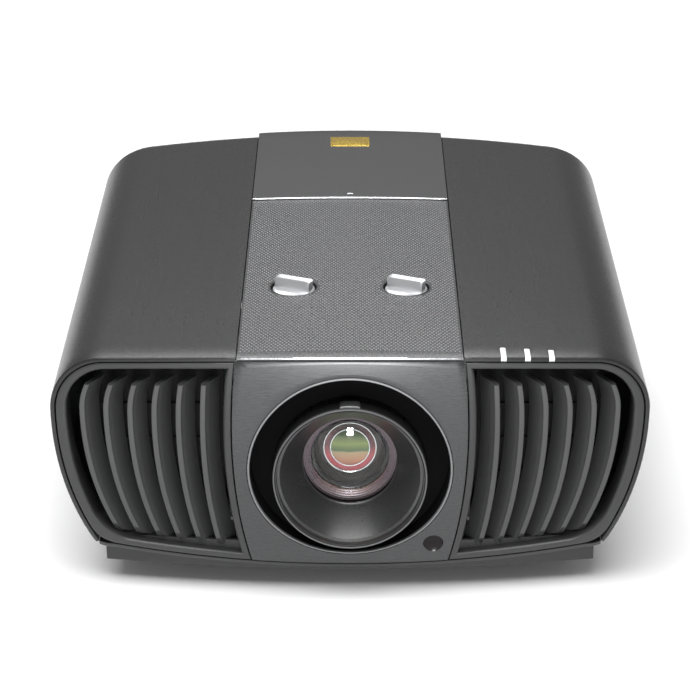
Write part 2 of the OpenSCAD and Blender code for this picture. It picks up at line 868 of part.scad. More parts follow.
module vertical_shift_frame() {
    color([0.45, 0.46, 0.48])
        difference() {
            union() {
                box_between([-rod_v_x - 8, frame_y, lens_z - 62],
                    [rod_v_x + 8, frame_y + frame_t, lens_z + 62]);
                for (side = [-1, 1])
                    for (dz = [-rod_h_dz, rod_h_dz])
                        box_between([side * (lug_x + 4) - 4, carriage_y + 0.5, lens_z + dz - 6],
                            [side * (lug_x + 4) + 4, frame_y + 1, lens_z + dz + 6]);
                box_between([-knob_x - 9, frame_y, lens_z + 60],
                    [-knob_x + 9, frame_y + frame_t, arm_z + arm_t]);
                box_between([-knob_x - 9, frame_y, arm_z], [-knob_x + 9, knob_y, arm_z + arm_t]);
                translate([-knob_x, knob_y, arm_z - 6])
                    cylinder(r = 9, h = 18);
            }
            bore_y(frame_y - 5, frame_y + frame_t + 5, barrel_r + shift_h + 2);
            for (side = [-1, 1])
                translate([side * rod_v_x, frame_y + frame_t / 2, lens_z - 70])
                    cylinder(r = rod_r + shaft_gap, h = 140);
            translate([-knob_x, knob_y, arm_z - 20])
                cylinder(r = shaft_r + shaft_gap, h = 50);
            for (dz = [-rod_h_dz, rod_h_dz])
                translate([-100, carriage_y + carriage_t / 2, lens_z + dz])
                    rotate([0, 90, 0])
                        cylinder(r = rod_r + shaft_gap, h = 200);
        }
}

module horizontal_guide_rods() {
    color([0.75, 0.75, 0.77])
        for (dz = [-rod_h_dz, rod_h_dz])
            translate([-lug_x - 8, carriage_y + carriage_t / 2, lens_z + dz])
                rotate([0, 90, 0])
                    cylinder(r = rod_r, h = 2 * (lug_x + 8));
}

// Rack teeth along X whose pitch line is y = 0; gullets lie at whole pitches
module rack_teeth_2d(length) {
    pitch = PI * pinion_m;
    half = pitch / 4 - 0.12;
    for (k = [-floor(length / pitch / 2):floor(length / pitch / 2)])
        translate([(k + 0.5) * pitch, 0])
            polygon([
                [-half - 1.15 * pinion_m * tan(20), -1.15 * pinion_m],
                    [half + 1.15 * pinion_m * tan(20), -1.15 * pinion_m],
                [half - 0.85 * pinion_m * tan(20), 0.85 * pinion_m],
                    [-half + 0.85 * pinion_m * tan(20), 0.85 * pinion_m]]);
}

// Involute half-angle of a tooth of the pinion at radius r
function involute_angle(r, base) = sqrt(pow(r / base, 2) - 1) * 180 / PI - acos(base / r);

module pinion_2d() {
    base = pinion_r * cos(20);
    root = pinion_r - 1.15 * pinion_m;
    tip = pinion_r + 0.85 * pinion_m;
    half_pitch_angle = 360 / pinion_teeth / 4 - 0.12 / pinion_r * 180 / PI;
    flank = [for (k = [0:4]) let (r = max(base, root) + (tip - max(base, root)) * k / 4)
        [r, half_pitch_angle + involute_angle(pinion_r, base) - involute_angle(r, base)]];
    circle(r = root, $fn = 40);
    for (t = [0:pinion_teeth - 1])
        rotate(360 * t / pinion_teeth)
            polygon(concat(
                [[root * 0.8 * cos(-flank[0][1]), root * 0.8 * sin(-flank[0][1])]],
                [for (f = flank) [f[0] * cos(-f[1]), f[0] * sin(-f[1])]],
                [for (k = [4:-1:0]) [flank[k][0] * cos(flank[k][1]), flank[k][0] * sin(flank[k][1])]],
                [[root * 0.8 * cos(flank[0][1]), root * 0.8 * sin(flank[0][1])]]));
}

module lens_carriage() {
    rack_y = knob_y - pinion_r;
    color([0.5, 0.51, 0.53])
        difference() {
            union() {
                box_between([-lug_x + shift_h + 0.6, carriage_y, lens_z - 63],
                    [lug_x - shift_h - 0.6, carriage_y + carriage_t, lens_z + 63]);
                box_between([knob_x - 9, carriage_y, lens_z + 60],
                    [knob_x + 9, carriage_y + carriage_t, arm_z + arm_t]);
                box_between([knob_x - 9, carriage_y, arm_z],
                    [knob_x + 9, rack_y - 1.1 * pinion_m, arm_z + arm_t]);
                translate([knob_x, rack_y, arm_z])
                    linear_extrude(arm_t)
                        rack_teeth_2d(17);
            }
            bore_y(carriage_y - 5, carriage_y + carriage_t + 5, barrel_r + 0.1);
            for (dz = [-rod_h_dz, rod_h_dz])
                translate([-100, carriage_y + carriage_t / 2, lens_z + dz])
                    rotate([0, 90, 0])
                        cylinder(r = rod_r + shaft_gap, h = 200);
        }
}

// ---- Lens ----

module lens_barrel() {
    color([0.12, 0.12, 0.13])
        turned([
            [cell_r + run_gap, mouth_y + 0.3], [cone_back_r + 0.4, mouth_y + 0.3],
            [cone_back_r + 0.4, sleeve_y + 0.3], [barrel_r, sleeve_y + 0.3], [barrel_r, shroud_y + 2.3],
            [barrel_r + 8, shroud_y + 2.3], [barrel_r + 8, carriage_y - 0.2],
            [barrel_r, carriage_y - 0.2], [barrel_r, barrel_end_y], [tail_r, barrel_end_y],
            [tail_r, tail_end_y], [tail_r - 4, tail_end_y], [tail_r - 4, barrel_end_y - 4],
            [barrel_r - 8, barrel_end_y - 4], [barrel_r - 8, mouth_y + 30],
            [cell_r + run_gap, mouth_y + 30]]);
}
// Black cone in front of the glass, with the sleeve that the two rings turn on
module lens_hood() {
    color([0.1, 0.1, 0.11])
        turned([
            [cone_r, rim_y + 0.5], [hood_r, rim_y + 0.5], [hood_r, rim_y + ring_len],
            [sleeve_r, rim_y + ring_len], [sleeve_r, sleeve_y],
            [cone_back_r, sleeve_y],
            [mouth_r + ring_wall, mouth_y], [mouth_r, mouth_y]]);
}

module lens_shroud() {
    color([0.07, 0.07, 0.07])
        difference() {
            translate([0, shroud_y + 2, opening_z])
                rotate([90, 0, 0])
                    cylinder(d = opening_d + 12, h = 2);
            bore_y(shroud_y - 5, shroud_y + 5, barrel_r + 0.1);
        }
}

module focus_ring() {
    color([0.16, 0.16, 0.17])
        turned([
            [ring_r - ring_wall, rim_y], [ring_r, rim_y], [ring_r, rim_y + ring_len + 1.8],
            [sleeve_r + run_gap, rim_y + ring_len + 1.8], [sleeve_r + run_gap, rim_y + ring_len + 0.5],
            [ring_r - ring_wall, rim_y + ring_len + 0.5]]);
}

// Finger tab on top of the focus ring
module focus_tab() {
    color([0.6, 0.6, 0.62])
        intersection() {
            ring_y(rim_y + 3, rim_y + 14, ring_r + 0.05, ring_r + 1.3);
            box_between([-8, rim_y, lens_z], [8, rim_y + 20, lens_z + 80]);
        }
}

module zoom_ring() {
    y0 = rim_y + ring_len + 2.4;
    y1 = sleeve_y - 0.4;
    color([0.12, 0.12, 0.13])
        difference() {
            ring_y(y0, y1, sleeve_r + run_gap, ring_r - 0.5);
            for (a = [0:15:345])
                translate([0, 0, lens_z])
                    rotate([0, a, 0])
                        translate([ring_r + 0.2, y0 - 1, 0])
                            rotate([-90, 0, 0])
                                cylinder(r = 1.5, h = y1 - y0 + 2);
        }
}

module front_lens_cell() {
    y0 = mouth_y + 1 + focus_travel;
    color([0.62, 0.63, 0.65])
        turned([
            [glass_d / 2 + 0.1, y0], [cell_r, y0], [cell_r, y0 + 24], [glass_d / 2 - 4, y0 + 24],
            [glass_d / 2 - 4, y0 + 12.2], [glass_d / 2 + 0.1, y0 + 12.2]]);
}

// Front glass: a convex face in front and a flat seat behind
module front_lens() {
    y0 = mouth_y + 1 + focus_travel;
    radius = 58;
    rim_depth = 9;
    sag = radius - sqrt(radius * radius - pow(glass_d / 2, 2));
    color([0.55, 0.62, 0.6, 0.5])
        intersection() {
            translate([0, y0 + 12 - rim_depth + radius - sag + 0.5, lens_z])
                sphere(r = radius, $fn = 128);
            bore_y(y0 - 2, y0 + 12, glass_d / 2);
        }
}

module zoom_lens_cell() {
    y0 = mouth_y + 31 + zoom_travel;
    color([0.55, 0.5, 0.42])
        turned([
            [0, y0 + 2], [22, y0], [barrel_r - 9, y0], [barrel_r - 9, y0 + 6],
            [24, y0 + 6], [22, y0 + 5], [0, y0 + 5]]);
}

// ---- Knobs ----

// Domed disc with a grip bar; the bar's ends follow the disc
module shift_knob(side) {
    disc_r = well_d / 2 - 1.6;
    disc_low = knob_deck_z - well_depth + 1.5;
    color([0.8, 0.81, 0.83])
        translate([side * knob_x, knob_y, 0]) {
            translate([0, 0, disc_low])
                rotate_extrude()
                    polygon(concat(
                        [[0, 0], [disc_r, 0], [disc_r, well_depth - 2.6]],
                        [for (k = [1:5]) [disc_r * (1 - k / 5),
                            well_depth - 2.6 + 1.9 * sin(90 * k / 5)]]));
            rotate(bar_angle)
                box_between([-bar_len / 2, -bar_t / 2, disc_low + 2],
                    [bar_len / 2, bar_t / 2, knob_deck_z + knob_h]);
        }
}

module vertical_shift_knob() {
    shift_knob(-1);
}

module horizontal_shift_knob() {
    shift_knob(1);
}

module vertical_lead_screw() {
    color([0.72, 0.66, 0.4])
        translate([-knob_x, knob_y, shelf_z + shelf_t + 0.4]) {
            cylinder(r = shaft_r, h = knob_low_z - shelf_z - shelf_t - 0.4);
            translate([0, 0, -shelf_t])
                cylinder(r = 3, h = 10);
        }
}

module horizontal_pinion_shaft() {
    color([0.72, 0.66, 0.4])
        translate([knob_x, knob_y, shelf_z + shelf_t + 0.4]) {
            translate([0, 0, arm_z - 8 - shelf_z - shelf_t])
                rotate(-90)
                    linear_extrude(22)
                        pinion_2d();
            cylinder(r = 3, h = knob_low_z - shelf_z - shelf_t - 0.4);
            translate([0, 0, -shelf_t])
                cylinder(r = 3, h = 10);
        }
}

// ---- Light engine ----

module engine_housing() {
    color([0.5, 0.5, 0.52])
        difference() {
            box_between([-engine_hw, engine_y0, engine_z0], [engine_hw, engine_y1, engine_z1]);
            box_between([-engine_hw + 3, engine_y0 + 3, engine_z0 + 3],
                [engine_hw - 3, engine_y1 - 3, engine_z1 + 1]);
            bore_y(engine_y0 - 2, engine_y0 + 5, tail_r + shift_reach);
            translate([light_x, engine_y1 + 5, lens_z])
                rotate([90, 0, 0])
                    cylinder(r = 12, h = 12);
        }
}
// Prism, fold mirror, relay lens and light tunnel
module engine_optics() {
    y = engine_y0;
    color([0.7, 0.8, 0.8, 0.6]) {
        box_between([-16, y + 18, lens_z - 16], [16, y + 48, lens_z + 16]);
        translate([light_x, y + 34, lens_z])
            rotate(45)
                box_between([-18, -1.5, -15], [18, 1.5, 15]);
        translate([light_x, y + 68, lens_z])
            rotate([90, 0, 0])
                cylinder(r = 14, h = 5);
        box_between([light_x - 5, y + 84, lens_z - 4], [light_x + 5, y + 116, lens_z + 4]);
    }
}

// Imaging-chip board with its finned heat sink
module dmd_board() {
    y = engine_y0 + 50;
    color([0.1, 0.35, 0.2])
        box_between([-20, y, lens_z - 30], [44, y + 1.6, lens_z + 30]);
    color([0.65, 0.66, 0.68]) {
        box_between([-16, y + 1.6, lens_z - 24], [40, y + 5.6, lens_z + 24]);
        for (k = [0:8])
            box_between([-16 + k * 6.75, y + 5, lens_z - 24], [-14 + k * 6.75, y + 26, lens_z + 24]);
    }
}

module colour_wheel_motor() {
    y = engine_y1 + 4;
    color([0.3, 0.3, 0.31]) {
        translate([light_x, y + 20, lens_z - 22])
            rotate([90, 0, 0])
                cylinder(r = 11, h = 12);
        translate([light_x, y + 9, lens_z - 22])
            rotate([90, 0, 0])
                cylinder(r = 2, h = 8);
        box_between([light_x - 14, y + 12, engine_z0], [light_x + 14, y + 20, lens_z - 24]);
    }
}

module colour_wheel() {
    y = engine_y1 + 4;
    color([0.8, 0.5, 0.5, 0.6])
        translate([light_x, y + 5, lens_z - 22])
            rotate([90, 0, 0])
                difference() {
                    union() {
                        cylinder(r = 31, h = 1.4);
                        cylinder(r = 10, h = 3.5);
                    }
                    translate([0, 0, -5])
                        cylinder(r = 2 + shaft_gap, h = 20);
                }
}

// Replaceable lamp: housing with a reflector bowl and a grip
module lamp_module() {
    y = lamp_y0;
    bowl_r = 34;
    bowl_depth = 60;
    color([0.25, 0.25, 0.26])
        difference() {
            union() {
                box_between([light_x - 48, y, engine_z0], [light_x + 48, y + 84, lens_z + 44]);
                box_between([light_x - 22, y + 70, lens_z + 40], [light_x + 22, y + 76, lens_z + 62]);
            }
            translate([light_x, y, lens_z])
                rotate([-90, 0, 0])
                    rotate_extrude()
                        polygon(concat([[0, -1], [bowl_r, -1]],
                            [for (k = [0:8]) [bowl_r * cos(90 * k / 8), bowl_depth * sin(90 * k / 8)]]));
            box_between([light_x - 14, y + 60, lens_z + 48], [light_x + 14, y + 90, lens_z + 57]);
        }
}

module lamp_ballast() {
    x0 = half_w - 130;
    y1 = back_y - 52;
    z0 = board_z + board_lift;
    color([0.68, 0.69, 0.7])
        difference() {
            box_between([x0, y1 - 140, z0], [x0 + 84, y1, z0 + 42]);
            box_between([x0 + 1.5, y1 - 138.5, z0 + 1.5], [x0 + 82.5, y1 - 1.5, z0 + 44]);
        }
}

module power_supply() {
    x0 = half_w - 130;
    y0 = fan_y + fan_t + 25;
    z0 = board_z + board_lift;
    color([0.75, 0.6, 0.3])
        box_between([x0, y0, z0], [x0 + 84, y0 + 130, z0 + board_t]);
    color([0.2, 0.2, 0.22])
        for (k = [0:3])
            translate([x0 + 18 + (k % 2) * 44, y0 + 20 + k * 30, z0 + board_t - 0.1])
                cylinder(r = 11, h = 34);
    color([0.7, 0.7, 0.72])
        box_between([x0 + 38, y0 + 8, z0 + board_t - 0.1], [x0 + 42, y0 + 122, z0 + 42]);
}

module main_board() {
    color([0.1, 0.35, 0.2])
        box_between([-half_w + 60, deck_end_y - 30, board_z],
            [72, back_y - tray_back_set - 20, board_z + board_t]);
    color([0.1, 0.1, 0.1])
        for (k = [0:2])
            box_between([-half_w + 70, deck_end_y - 20 + 40 * k, board_z + board_t - 0.1],
                [-half_w + 94, deck_end_y + 4 + 40 * k, board_z + 4]);
}

module signal_connectors() {
    color([0.7, 0.7, 0.72])
        for (jack = jacks)
            difference() {
                y1 = back_at(jack[0], jack_z + jack_lift, 0.8);
                low = jack_z + jack_lift + 0.4;
                union() {
                    box_between([jack[0] - jack[1] / 2, y1 - 22, jack_z],
                        [jack[0] + jack[1] / 2, y1 - 5, low + 2]);
                    box_between([jack[0] - jack[1] / 2, y1 - 22, low],
                        [jack[0] + jack[1] / 2, y1, low + jack[2]]);
                }
                box_between([jack[0] - jack[1] / 2 + 1, y1 - 12, low + 1],
                    [jack[0] + jack[1] / 2 - 1, y1 + 1, low + jack[2] - 1]);
            }
}

// Appliance inlet with three blades
module power_inlet() {
    y1 = back_at(inlet_x, inlet_z, 0.6);
    color([0.08, 0.08, 0.08])
        difference() {
            box_between([inlet_x - inlet_w / 2, y1 - 26, inlet_z - inlet_h / 2],
                [inlet_x + inlet_w / 2, y1, inlet_z + inlet_h / 2]);
            box_between([inlet_x - inlet_w / 2 + 2, y1 - 18, inlet_z - inlet_h / 2 + 2],
                [inlet_x + inlet_w / 2 - 2, y1 + 1, inlet_z + inlet_h / 2 - 2]);
        }
    color([0.8, 0.8, 0.8])
        for (p = [[-7, -2], [0, 3], [7, -2]])
            box_between([inlet_x + p[0] - 1, y1 - 19, inlet_z + p[1] - 2],
                [inlet_x + p[0] + 1, y1 - 7, inlet_z + p[1] + 2]);
}

// ---- Fans ----

module fan_frame_shape() {
    color([0.1, 0.1, 0.1])
        translate([fan_x, fan_y, fan_z])
            difference() {
                union() {
                    difference() {
                        box_between([-fan_size / 2, 0, -fan_size / 2], [fan_size / 2, fan_t, fan_size / 2]);
                        translate([0, fan_t + 1, 0])
                            rotate([90, 0, 0])
                                cylinder(r = fan_size / 2 - 2, h = fan_t + 2);
                    }
                    translate([0, fan_t, 0])
                        rotate([90, 0, 0])
                            cylinder(r = 16, h = 3);
                    for (a = [45:90:315])
                        rotate([0, a, 0])
                            box_between([0, fan_t - 3, -2], [fan_size / 2 - 1, fan_t, 2]);
                    translate([0, fan_t - 2, 0])
                        rotate([90, 0, 0])
                            cylinder(r = 1.5, h = fan_t - 8);
                }
                for (sx = [-1, 1])
                    for (sz = [-1, 1])
                        translate([sx * (fan_size / 2 - 5), -1, sz * (fan_size / 2 - 5)])
                            rotate([-90, 0, 0])
                                cylinder(r = 2.1, h = fan_t + 2);
            }
}

module fan_rotor_shape() {
    color([0.14, 0.14, 0.15])
        translate([fan_x, fan_y, fan_z])
            difference() {
                union() {
                    translate([0, fan_t - 4, 0])
                        rotate([90, 0, 0])
                            cylinder(r = 17, h = fan_t - 6);
                    for (a = [0:360 / 7:359])
                        rotate([0, a, 0])
                            translate([15, fan_t / 2 - 1, 0])
                                rotate([38, 0, 0])
                                    box_between([0, -9, -0.8], [fan_size / 2 - 18.5, 9, 0.8]);
                }
                translate([0, fan_t, 0])
                    rotate([90, 0, 0])
                        cylinder(r = 1.5 + shaft_gap, h = fan_t - 5);
            }
}

module left_fan_frame() {
    mirror([1, 0, 0])
        fan_frame_shape();
}

module left_fan_rotor() {
    mirror([1, 0, 0])
        fan_rotor_shape();
}

module right_fan_frame() {
    fan_frame_shape();
}

module right_fan_rotor() {
    fan_rotor_shape();
}

// ---- Keys ----

// A key that travels into the back panel, with a flange that keeps it from falling out
module key_cap(k, hole) {
    key = keys[k];
    x = key_x + key[0];
    z = key_z + key[1];
    y = back_at(x, z, 0);
    color([0.3, 0.3, 0.31])
        translate([x, y + 0.3, z])
            rotate([90, 0, 0])
                difference() {
                    union() {
                        cylinder(r = key[2], h = key_depth + 0.5);
                        translate([0, 0, key_depth])
                            cylinder(r = key[2] + 1.5, h = 1.5);
                    }
                    if (hole > 0)
                        translate([0, 0, -1])
                            cylinder(r = hole, h = 20);
                }
}

module arrow_ring() {
    key_cap(0, 6);
}

module power_button() {
    key_cap(1, 0);
}

module menu_button() {
    key_cap(2, 0);
}

module back_button() {
    key_cap(3, 0);
}

bottom_tray();
left_side_cover();
right_side_cover();
shift_deck();
rear_spine();
rear_top_cover();
front_panel();
lens_trim_ring();
left_grille_frame();
right_grille_frame();
left_grille_vanes();
right_grille_vanes();
left_dust_filter();
right_dust_filter();
rear_panel();
light_pipes();
ir_window();
tray_screws();
lens_base_plate();
vertical_guide_rods();
vertical_shift_frame();
horizontal_guide_rods();
lens_carriage();
lens_barrel();
lens_hood();
lens_shroud();
focus_ring();
focus_tab();
zoom_ring();
front_lens_cell();
front_lens();
zoom_lens_cell();
vertical_shift_knob();
vertical_lead_screw();
horizontal_shift_knob();
horizontal_pinion_shaft();
engine_housing();
engine_optics();
dmd_board();
colour_wheel();
colour_wheel_motor();
lamp_module();
lamp_ballast();
power_supply();
main_board();
left_fan_frame();
left_fan_rotor();
right_fan_frame();
right_fan_rotor();
signal_connectors();
power_inlet();
left_foot_pad();
left_foot_screw();
right_foot_pad();
right_foot_screw();
rear_feet();
power_button();
menu_button();
back_button();
arrow_ring();
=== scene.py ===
import math

import bmesh
import bpy
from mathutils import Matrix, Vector


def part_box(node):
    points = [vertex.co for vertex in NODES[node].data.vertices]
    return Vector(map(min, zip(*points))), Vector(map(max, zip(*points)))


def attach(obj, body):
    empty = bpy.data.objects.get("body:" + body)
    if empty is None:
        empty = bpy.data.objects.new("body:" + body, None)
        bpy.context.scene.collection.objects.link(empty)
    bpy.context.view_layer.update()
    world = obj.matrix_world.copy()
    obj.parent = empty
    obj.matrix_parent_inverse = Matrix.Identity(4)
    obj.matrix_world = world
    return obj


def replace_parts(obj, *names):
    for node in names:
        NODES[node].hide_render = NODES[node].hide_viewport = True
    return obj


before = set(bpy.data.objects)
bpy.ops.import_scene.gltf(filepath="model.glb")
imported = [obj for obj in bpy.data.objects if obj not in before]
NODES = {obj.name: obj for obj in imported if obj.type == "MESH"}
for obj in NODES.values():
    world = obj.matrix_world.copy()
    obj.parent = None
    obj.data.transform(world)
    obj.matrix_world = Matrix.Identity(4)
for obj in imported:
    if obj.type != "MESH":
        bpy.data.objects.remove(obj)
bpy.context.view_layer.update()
MM = 0.001


def box_mm(node):
    low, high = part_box(node)
    return [v * 1000 for v in low], [v * 1000 for v in high]


# ---- The case in millimetres: its planes come from the CAD boxes, its radii are the model's own ----

CROWN_R, CORNER_R, SIDE_R = 2600.0, 46.0, 275.0
PLAN_R, FACE_R, BACK_R = 1140.0, 372.0, 400.0
LOWER_R, PANEL_R = 1493.79, 540.0
STRIP = 88.0
SEAM = 0.8
WALL = 3.6

HALF_W = box_mm("right_side_cover")[1][0]
CROWN_Z = box_mm("shift_deck")[1][2]
GROUND_GAP = box_mm("bottom_tray")[0][2]
RING_LOW, RING_HIGH = box_mm("focus_ring")
RIM_Y = RING_LOW[1]
LENS_Z = (RING_LOW[2] + RING_HIGH[2]) / 2
FRONT_Y = RIM_Y - 7.9
CROWN_C = CROWN_Z - CROWN_R
TOP_Z = CROWN_C + math.sqrt(CROWN_R**2 - STRIP**2)
FACE_Z = TOP_Z - 58.0
BACK_Z = TOP_Z - 92.0
OPENING_Z = TOP_Z - 96.0
LOWER_Z = GROUND_GAP + 7.0
BACK_Y = FRONT_Y + 566.388
EDGE_Y = FRONT_Y + 7.951
DECK_END = EDGE_Y + 354.0
DECK_EDGE_Z = TOP_Z - 2.0
BAND_END = EDGE_Y + 10.0
COVER_LOW = GROUND_GAP + 19.0
REAR_PROUD = 1.5
OPENING_R = 81.15
CORNER_X = HALF_W - CORNER_R
CORNER_Z = CROWN_C + math.sqrt((CROWN_R - CORNER_R) ** 2 - CORNER_X**2)
CORNER_A = math.asin(CORNER_X / (CROWN_R - CORNER_R))
KNOB_X = 46.2
KNOB_Y = EDGE_Y + 143.0
KNOB_HOLE_R = 19.4


def crown_z(x, inset=0.0):
    return CROWN_C + math.sqrt((CROWN_R - inset) ** 2 - x * x)


def front_at(x, z, depth=0.0):
    reach = PLAN_R - FACE_R + math.sqrt((FACE_R - depth) ** 2 - (z - FACE_Z) ** 2)
    return FRONT_Y + PLAN_R - math.sqrt(reach * reach - x * x)


def back_at(x, z, depth=0.0):
    reach = PLAN_R - BACK_R + math.sqrt((BACK_R - depth) ** 2 - (z - BACK_Z) ** 2)
    return BACK_Y - PLAN_R + math.sqrt(reach * reach - x * x)


def lower_edge(x):
    return LOWER_Z + LOWER_R - math.sqrt(LOWER_R**2 - x * x)


def panel_edge(z):
    return 92.1 - (z - (TOP_Z - 65.5)) ** 2 / (2 * PANEL_R)


CROWN_LEN = CROWN_R * CORNER_A
CORNER_LEN = CORNER_R * (math.pi / 2 - CORNER_A)


def outline_at(s, inset_top, inset_side):
    """Point of the right half of the case outline, s millimetres from the middle of the crown."""
    if s <= CROWN_LEN:
        a = s / CROWN_R
        r = CROWN_R - inset_top
        return r * math.sin(a), CROWN_C + r * math.cos(a)
    if s <= CROWN_LEN + CORNER_LEN:
        share = (s - CROWN_LEN) / CORNER_LEN
        a = CORNER_A + (math.pi / 2 - CORNER_A) * share
        r = CORNER_R - inset_top + (inset_top - inset_side) * share
        return CORNER_X + r * math.sin(a), CORNER_Z + r * math.cos(a)
    a = (s - CROWN_LEN - CORNER_LEN) / SIDE_R
    r = SIDE_R - inset_side
    return HALF_W - SIDE_R + r * math.cos(a), CORNER_Z - r * math.sin(a)


def side_length(z):
    return CROWN_LEN + CORNER_LEN + SIDE_R * math.asin((CORNER_Z - z) / SIDE_R)


# ---- Materials ----


def material(name, colour, rough, metal=0.0, grain=260.0, relief=0.03, spread=0.1, stretch=(1, 1, 1),
             mottle=9.0, coat=0.0, level=0.5):
    """Procedural surface: fine grain in relief and gloss, and broad slow changes of colour."""
    made = bpy.data.materials.new(name)
    made.use_nodes = True
    tree = made.node_tree
    tree.nodes.clear()
    out = tree.nodes.new("ShaderNodeOutputMaterial")
    skin = tree.nodes.new("ShaderNodeBsdfPrincipled")
    tree.links.new(skin.outputs["BSDF"], out.inputs["Surface"])
    place = tree.nodes.new("ShaderNodeTexCoord")
    scale = tree.nodes.new("ShaderNodeMapping")
    scale.inputs["Scale"].default_value = stretch
    tree.links.new(place.outputs["Object"], scale.inputs["Vector"])
    fine = tree.nodes.new("ShaderNodeTexNoise")
    fine.inputs["Scale"].default_value = grain
    fine.inputs["Detail"].default_value = 3.0
    tree.links.new(scale.outputs["Vector"], fine.inputs["Vector"])
    broad = tree.nodes.new("ShaderNodeTexNoise")
    broad.inputs["Scale"].default_value = mottle
    broad.inputs["Detail"].default_value = 2.0
    tree.links.new(place.outputs["Object"], broad.inputs["Vector"])
    both = tree.nodes.new("ShaderNodeMath")
    both.operation = "MULTIPLY_ADD"
    both.inputs[1].default_value = 0.5
    tree.links.new(fine.outputs["Fac"], both.inputs[0])
    half = tree.nodes.new("ShaderNodeMath")
    half.operation = "MULTIPLY"
    half.inputs[1].default_value = 0.5
    tree.links.new(broad.outputs["Fac"], half.inputs[0])
    tree.links.new(half.outputs[0], both.inputs[2])
    ramp = tree.nodes.new("ShaderNodeValToRGB")
    ramp.color_ramp.elements[0].position = 0.3
    ramp.color_ramp.elements[1].position = 0.7
    ramp.color_ramp.elements[0].color = [c * (1 - spread) for c in colour] + [1]
    ramp.color_ramp.elements[1].color = [min(1, c * (1 + spread)) for c in colour] + [1]
    tree.links.new(both.outputs[0], ramp.inputs["Fac"])
    tree.links.new(ramp.outputs["Color"], skin.inputs["Base Color"])
    gloss = tree.nodes.new("ShaderNodeMapRange")
    gloss.inputs["From Min"].default_value = 0.3
    gloss.inputs["From Max"].default_value = 0.7
    gloss.inputs["To Min"].default_value = max(0.03, rough - 0.05)
    gloss.inputs["To Max"].default_value = min(1.0, rough + 0.05)
    tree.links.new(fine.outputs["Fac"], gloss.inputs["Value"])
    tree.links.new(gloss.outputs["Result"], skin.inputs["Roughness"])
    skin.inputs["Metallic"].default_value = metal
    skin.inputs["Coat Weight"].default_value = coat
    skin.inputs["Coat Roughness"].default_value = 0.15
    skin.inputs["Specular IOR Level"].default_value = level
    if relief:
        bump = tree.nodes.new("ShaderNodeBump")
        bump.inputs["Strength"].default_value = 1.0
        bump.inputs["Distance"].default_value = relief * MM
        tree.links.new(fine.outputs["Fac"], bump.inputs["Height"])
        tree.links.new(bump.outputs["Normal"], skin.inputs["Normal"])
    return made


def grey(value):
    return (value * 0.985, value * 0.995, value * 1.02)


COVER = material("cover_satin", grey(0.013), 0.29, grain=1500, relief=0.012, spread=0.06)
REAR = material("rear_cover_satin", grey(0.030), 0.40, grain=1500, relief=0.012, spread=0.05)
# Deck paint, darker than the plain band behind the front edge: painted shade for the shadows between the dots.
DECK_PAINTED_DOT_SHADE = material("deck_paint_painted_dot_shade", grey(0.085), 0.28, metal=0.5, grain=1400, relief=0.01, spread=0.06)
# Dot paint, far lighter than the deck: painted highlight on the bumps.
DOT_PAINTED_HIGHLIGHT = material("dot_painted_highlight", grey(0.27), 0.30, metal=0.5, grain=1400, relief=0.0, spread=0.05)
BAND = material("deck_band", grey(0.10), 0.28, metal=0.55, grain=1400, relief=0.008, spread=0.05)
PANEL = material("panel_brushed", grey(0.078), 0.27, metal=0.75, grain=420, relief=0.006, spread=0.08,
                 stretch=(0.12, 4, 4))
BEZEL = material("bezel_plastic", grey(0.028), 0.42, grain=1300, relief=0.015, spread=0.08)
VANE = material("vane_plastic", grey(0.052), 0.42, grain=1300, relief=0.015, spread=0.08)
BLACK = material("black_plastic", grey(0.012), 0.6, grain=900, relief=0.02, spread=0.2)
TRAY = material("tray_plastic", grey(0.022), 0.5, grain=800, relief=0.04, spread=0.15)
# Satin silver: the real colour of the arrow mark, and also a painted highlight, the glint line along the front
# edges of the deck and the rear cover.
SILVER_AND_PAINTED_GLINT = material("satin_silver_and_painted_glint", grey(0.62), 0.28, metal=1.0, grain=900, relief=0.006, spread=0.05)
KNOB = material("knob_satin", grey(0.60), 0.34, metal=0.75, grain=900, relief=0.0, spread=0.04)
TRIM = material("trim_metal", grey(0.22), 0.42, metal=0.6, grain=900, relief=0.006, spread=0.06)
HOOD = material("hood_satin", grey(0.022), 0.31, grain=1200, relief=0.006, spread=0.1, level=0.9)
RIM = material("rim_satin", grey(0.10), 0.5, grain=1200, relief=0.006, spread=0.08)
DARK = material("light_trap_black", grey(0.004), 0.85, grain=900, relief=0.005, spread=0.3, level=0.1)
SLEEVE = material("sleeve_black", (0.016, 0.007, 0.007), 0.45, grain=900, relief=0.0, spread=0.3, level=0.3)
CELL = material("cell_metal", (0.115, 0.095, 0.105), 0.3, metal=0.8, grain=900, relief=0.003, spread=0.1)
CHROME = material("turned_metal", grey(0.72), 0.16, metal=1.0, grain=1200, relief=0.004, spread=0.05)
STEEL = material("screw_steel", grey(0.45), 0.3, metal=1.0, grain=700, relief=0.01)
ALLOY = material("cast_alloy", grey(0.40), 0.5, metal=0.9, grain=500, relief=0.05, spread=0.12)
BRASS = material("brass", (0.55, 0.40, 0.17), 0.28, metal=1.0, grain=700, relief=0.01)
RUBBER = material("rubber", grey(0.018), 0.8, grain=700, relief=0.05, spread=0.2)
BOARD = material("solder_mask", (0.02, 0.13, 0.06), 0.35, grain=300, relief=0.02, spread=0.25)
SHEET = material("folded_sheet", grey(0.5), 0.35, metal=1.0, grain=400, relief=0.01)
MESH = material("filter_mesh", grey(0.008), 0.9, grain=1200, relief=0.2, spread=0.4)
GOLD = material("gold_foil", (0.83, 0.58, 0.10), 0.28, metal=1.0, grain=600, relief=0.01)
PIPE = material("light_pipe", (0.80, 0.82, 0.85), 0.25, grain=500, relief=0.01, coat=0.5)
WINDOW = material("dark_window", (0.006, 0.003, 0.004), 0.15, grain=300, relief=0.0, level=0.25)
KEY = material("key_plastic", grey(0.07), 0.45, grain=900, relief=0.02)


# ---- Mesh building ----

SHARP = 32.0  # degrees at which an edge stops being smooth


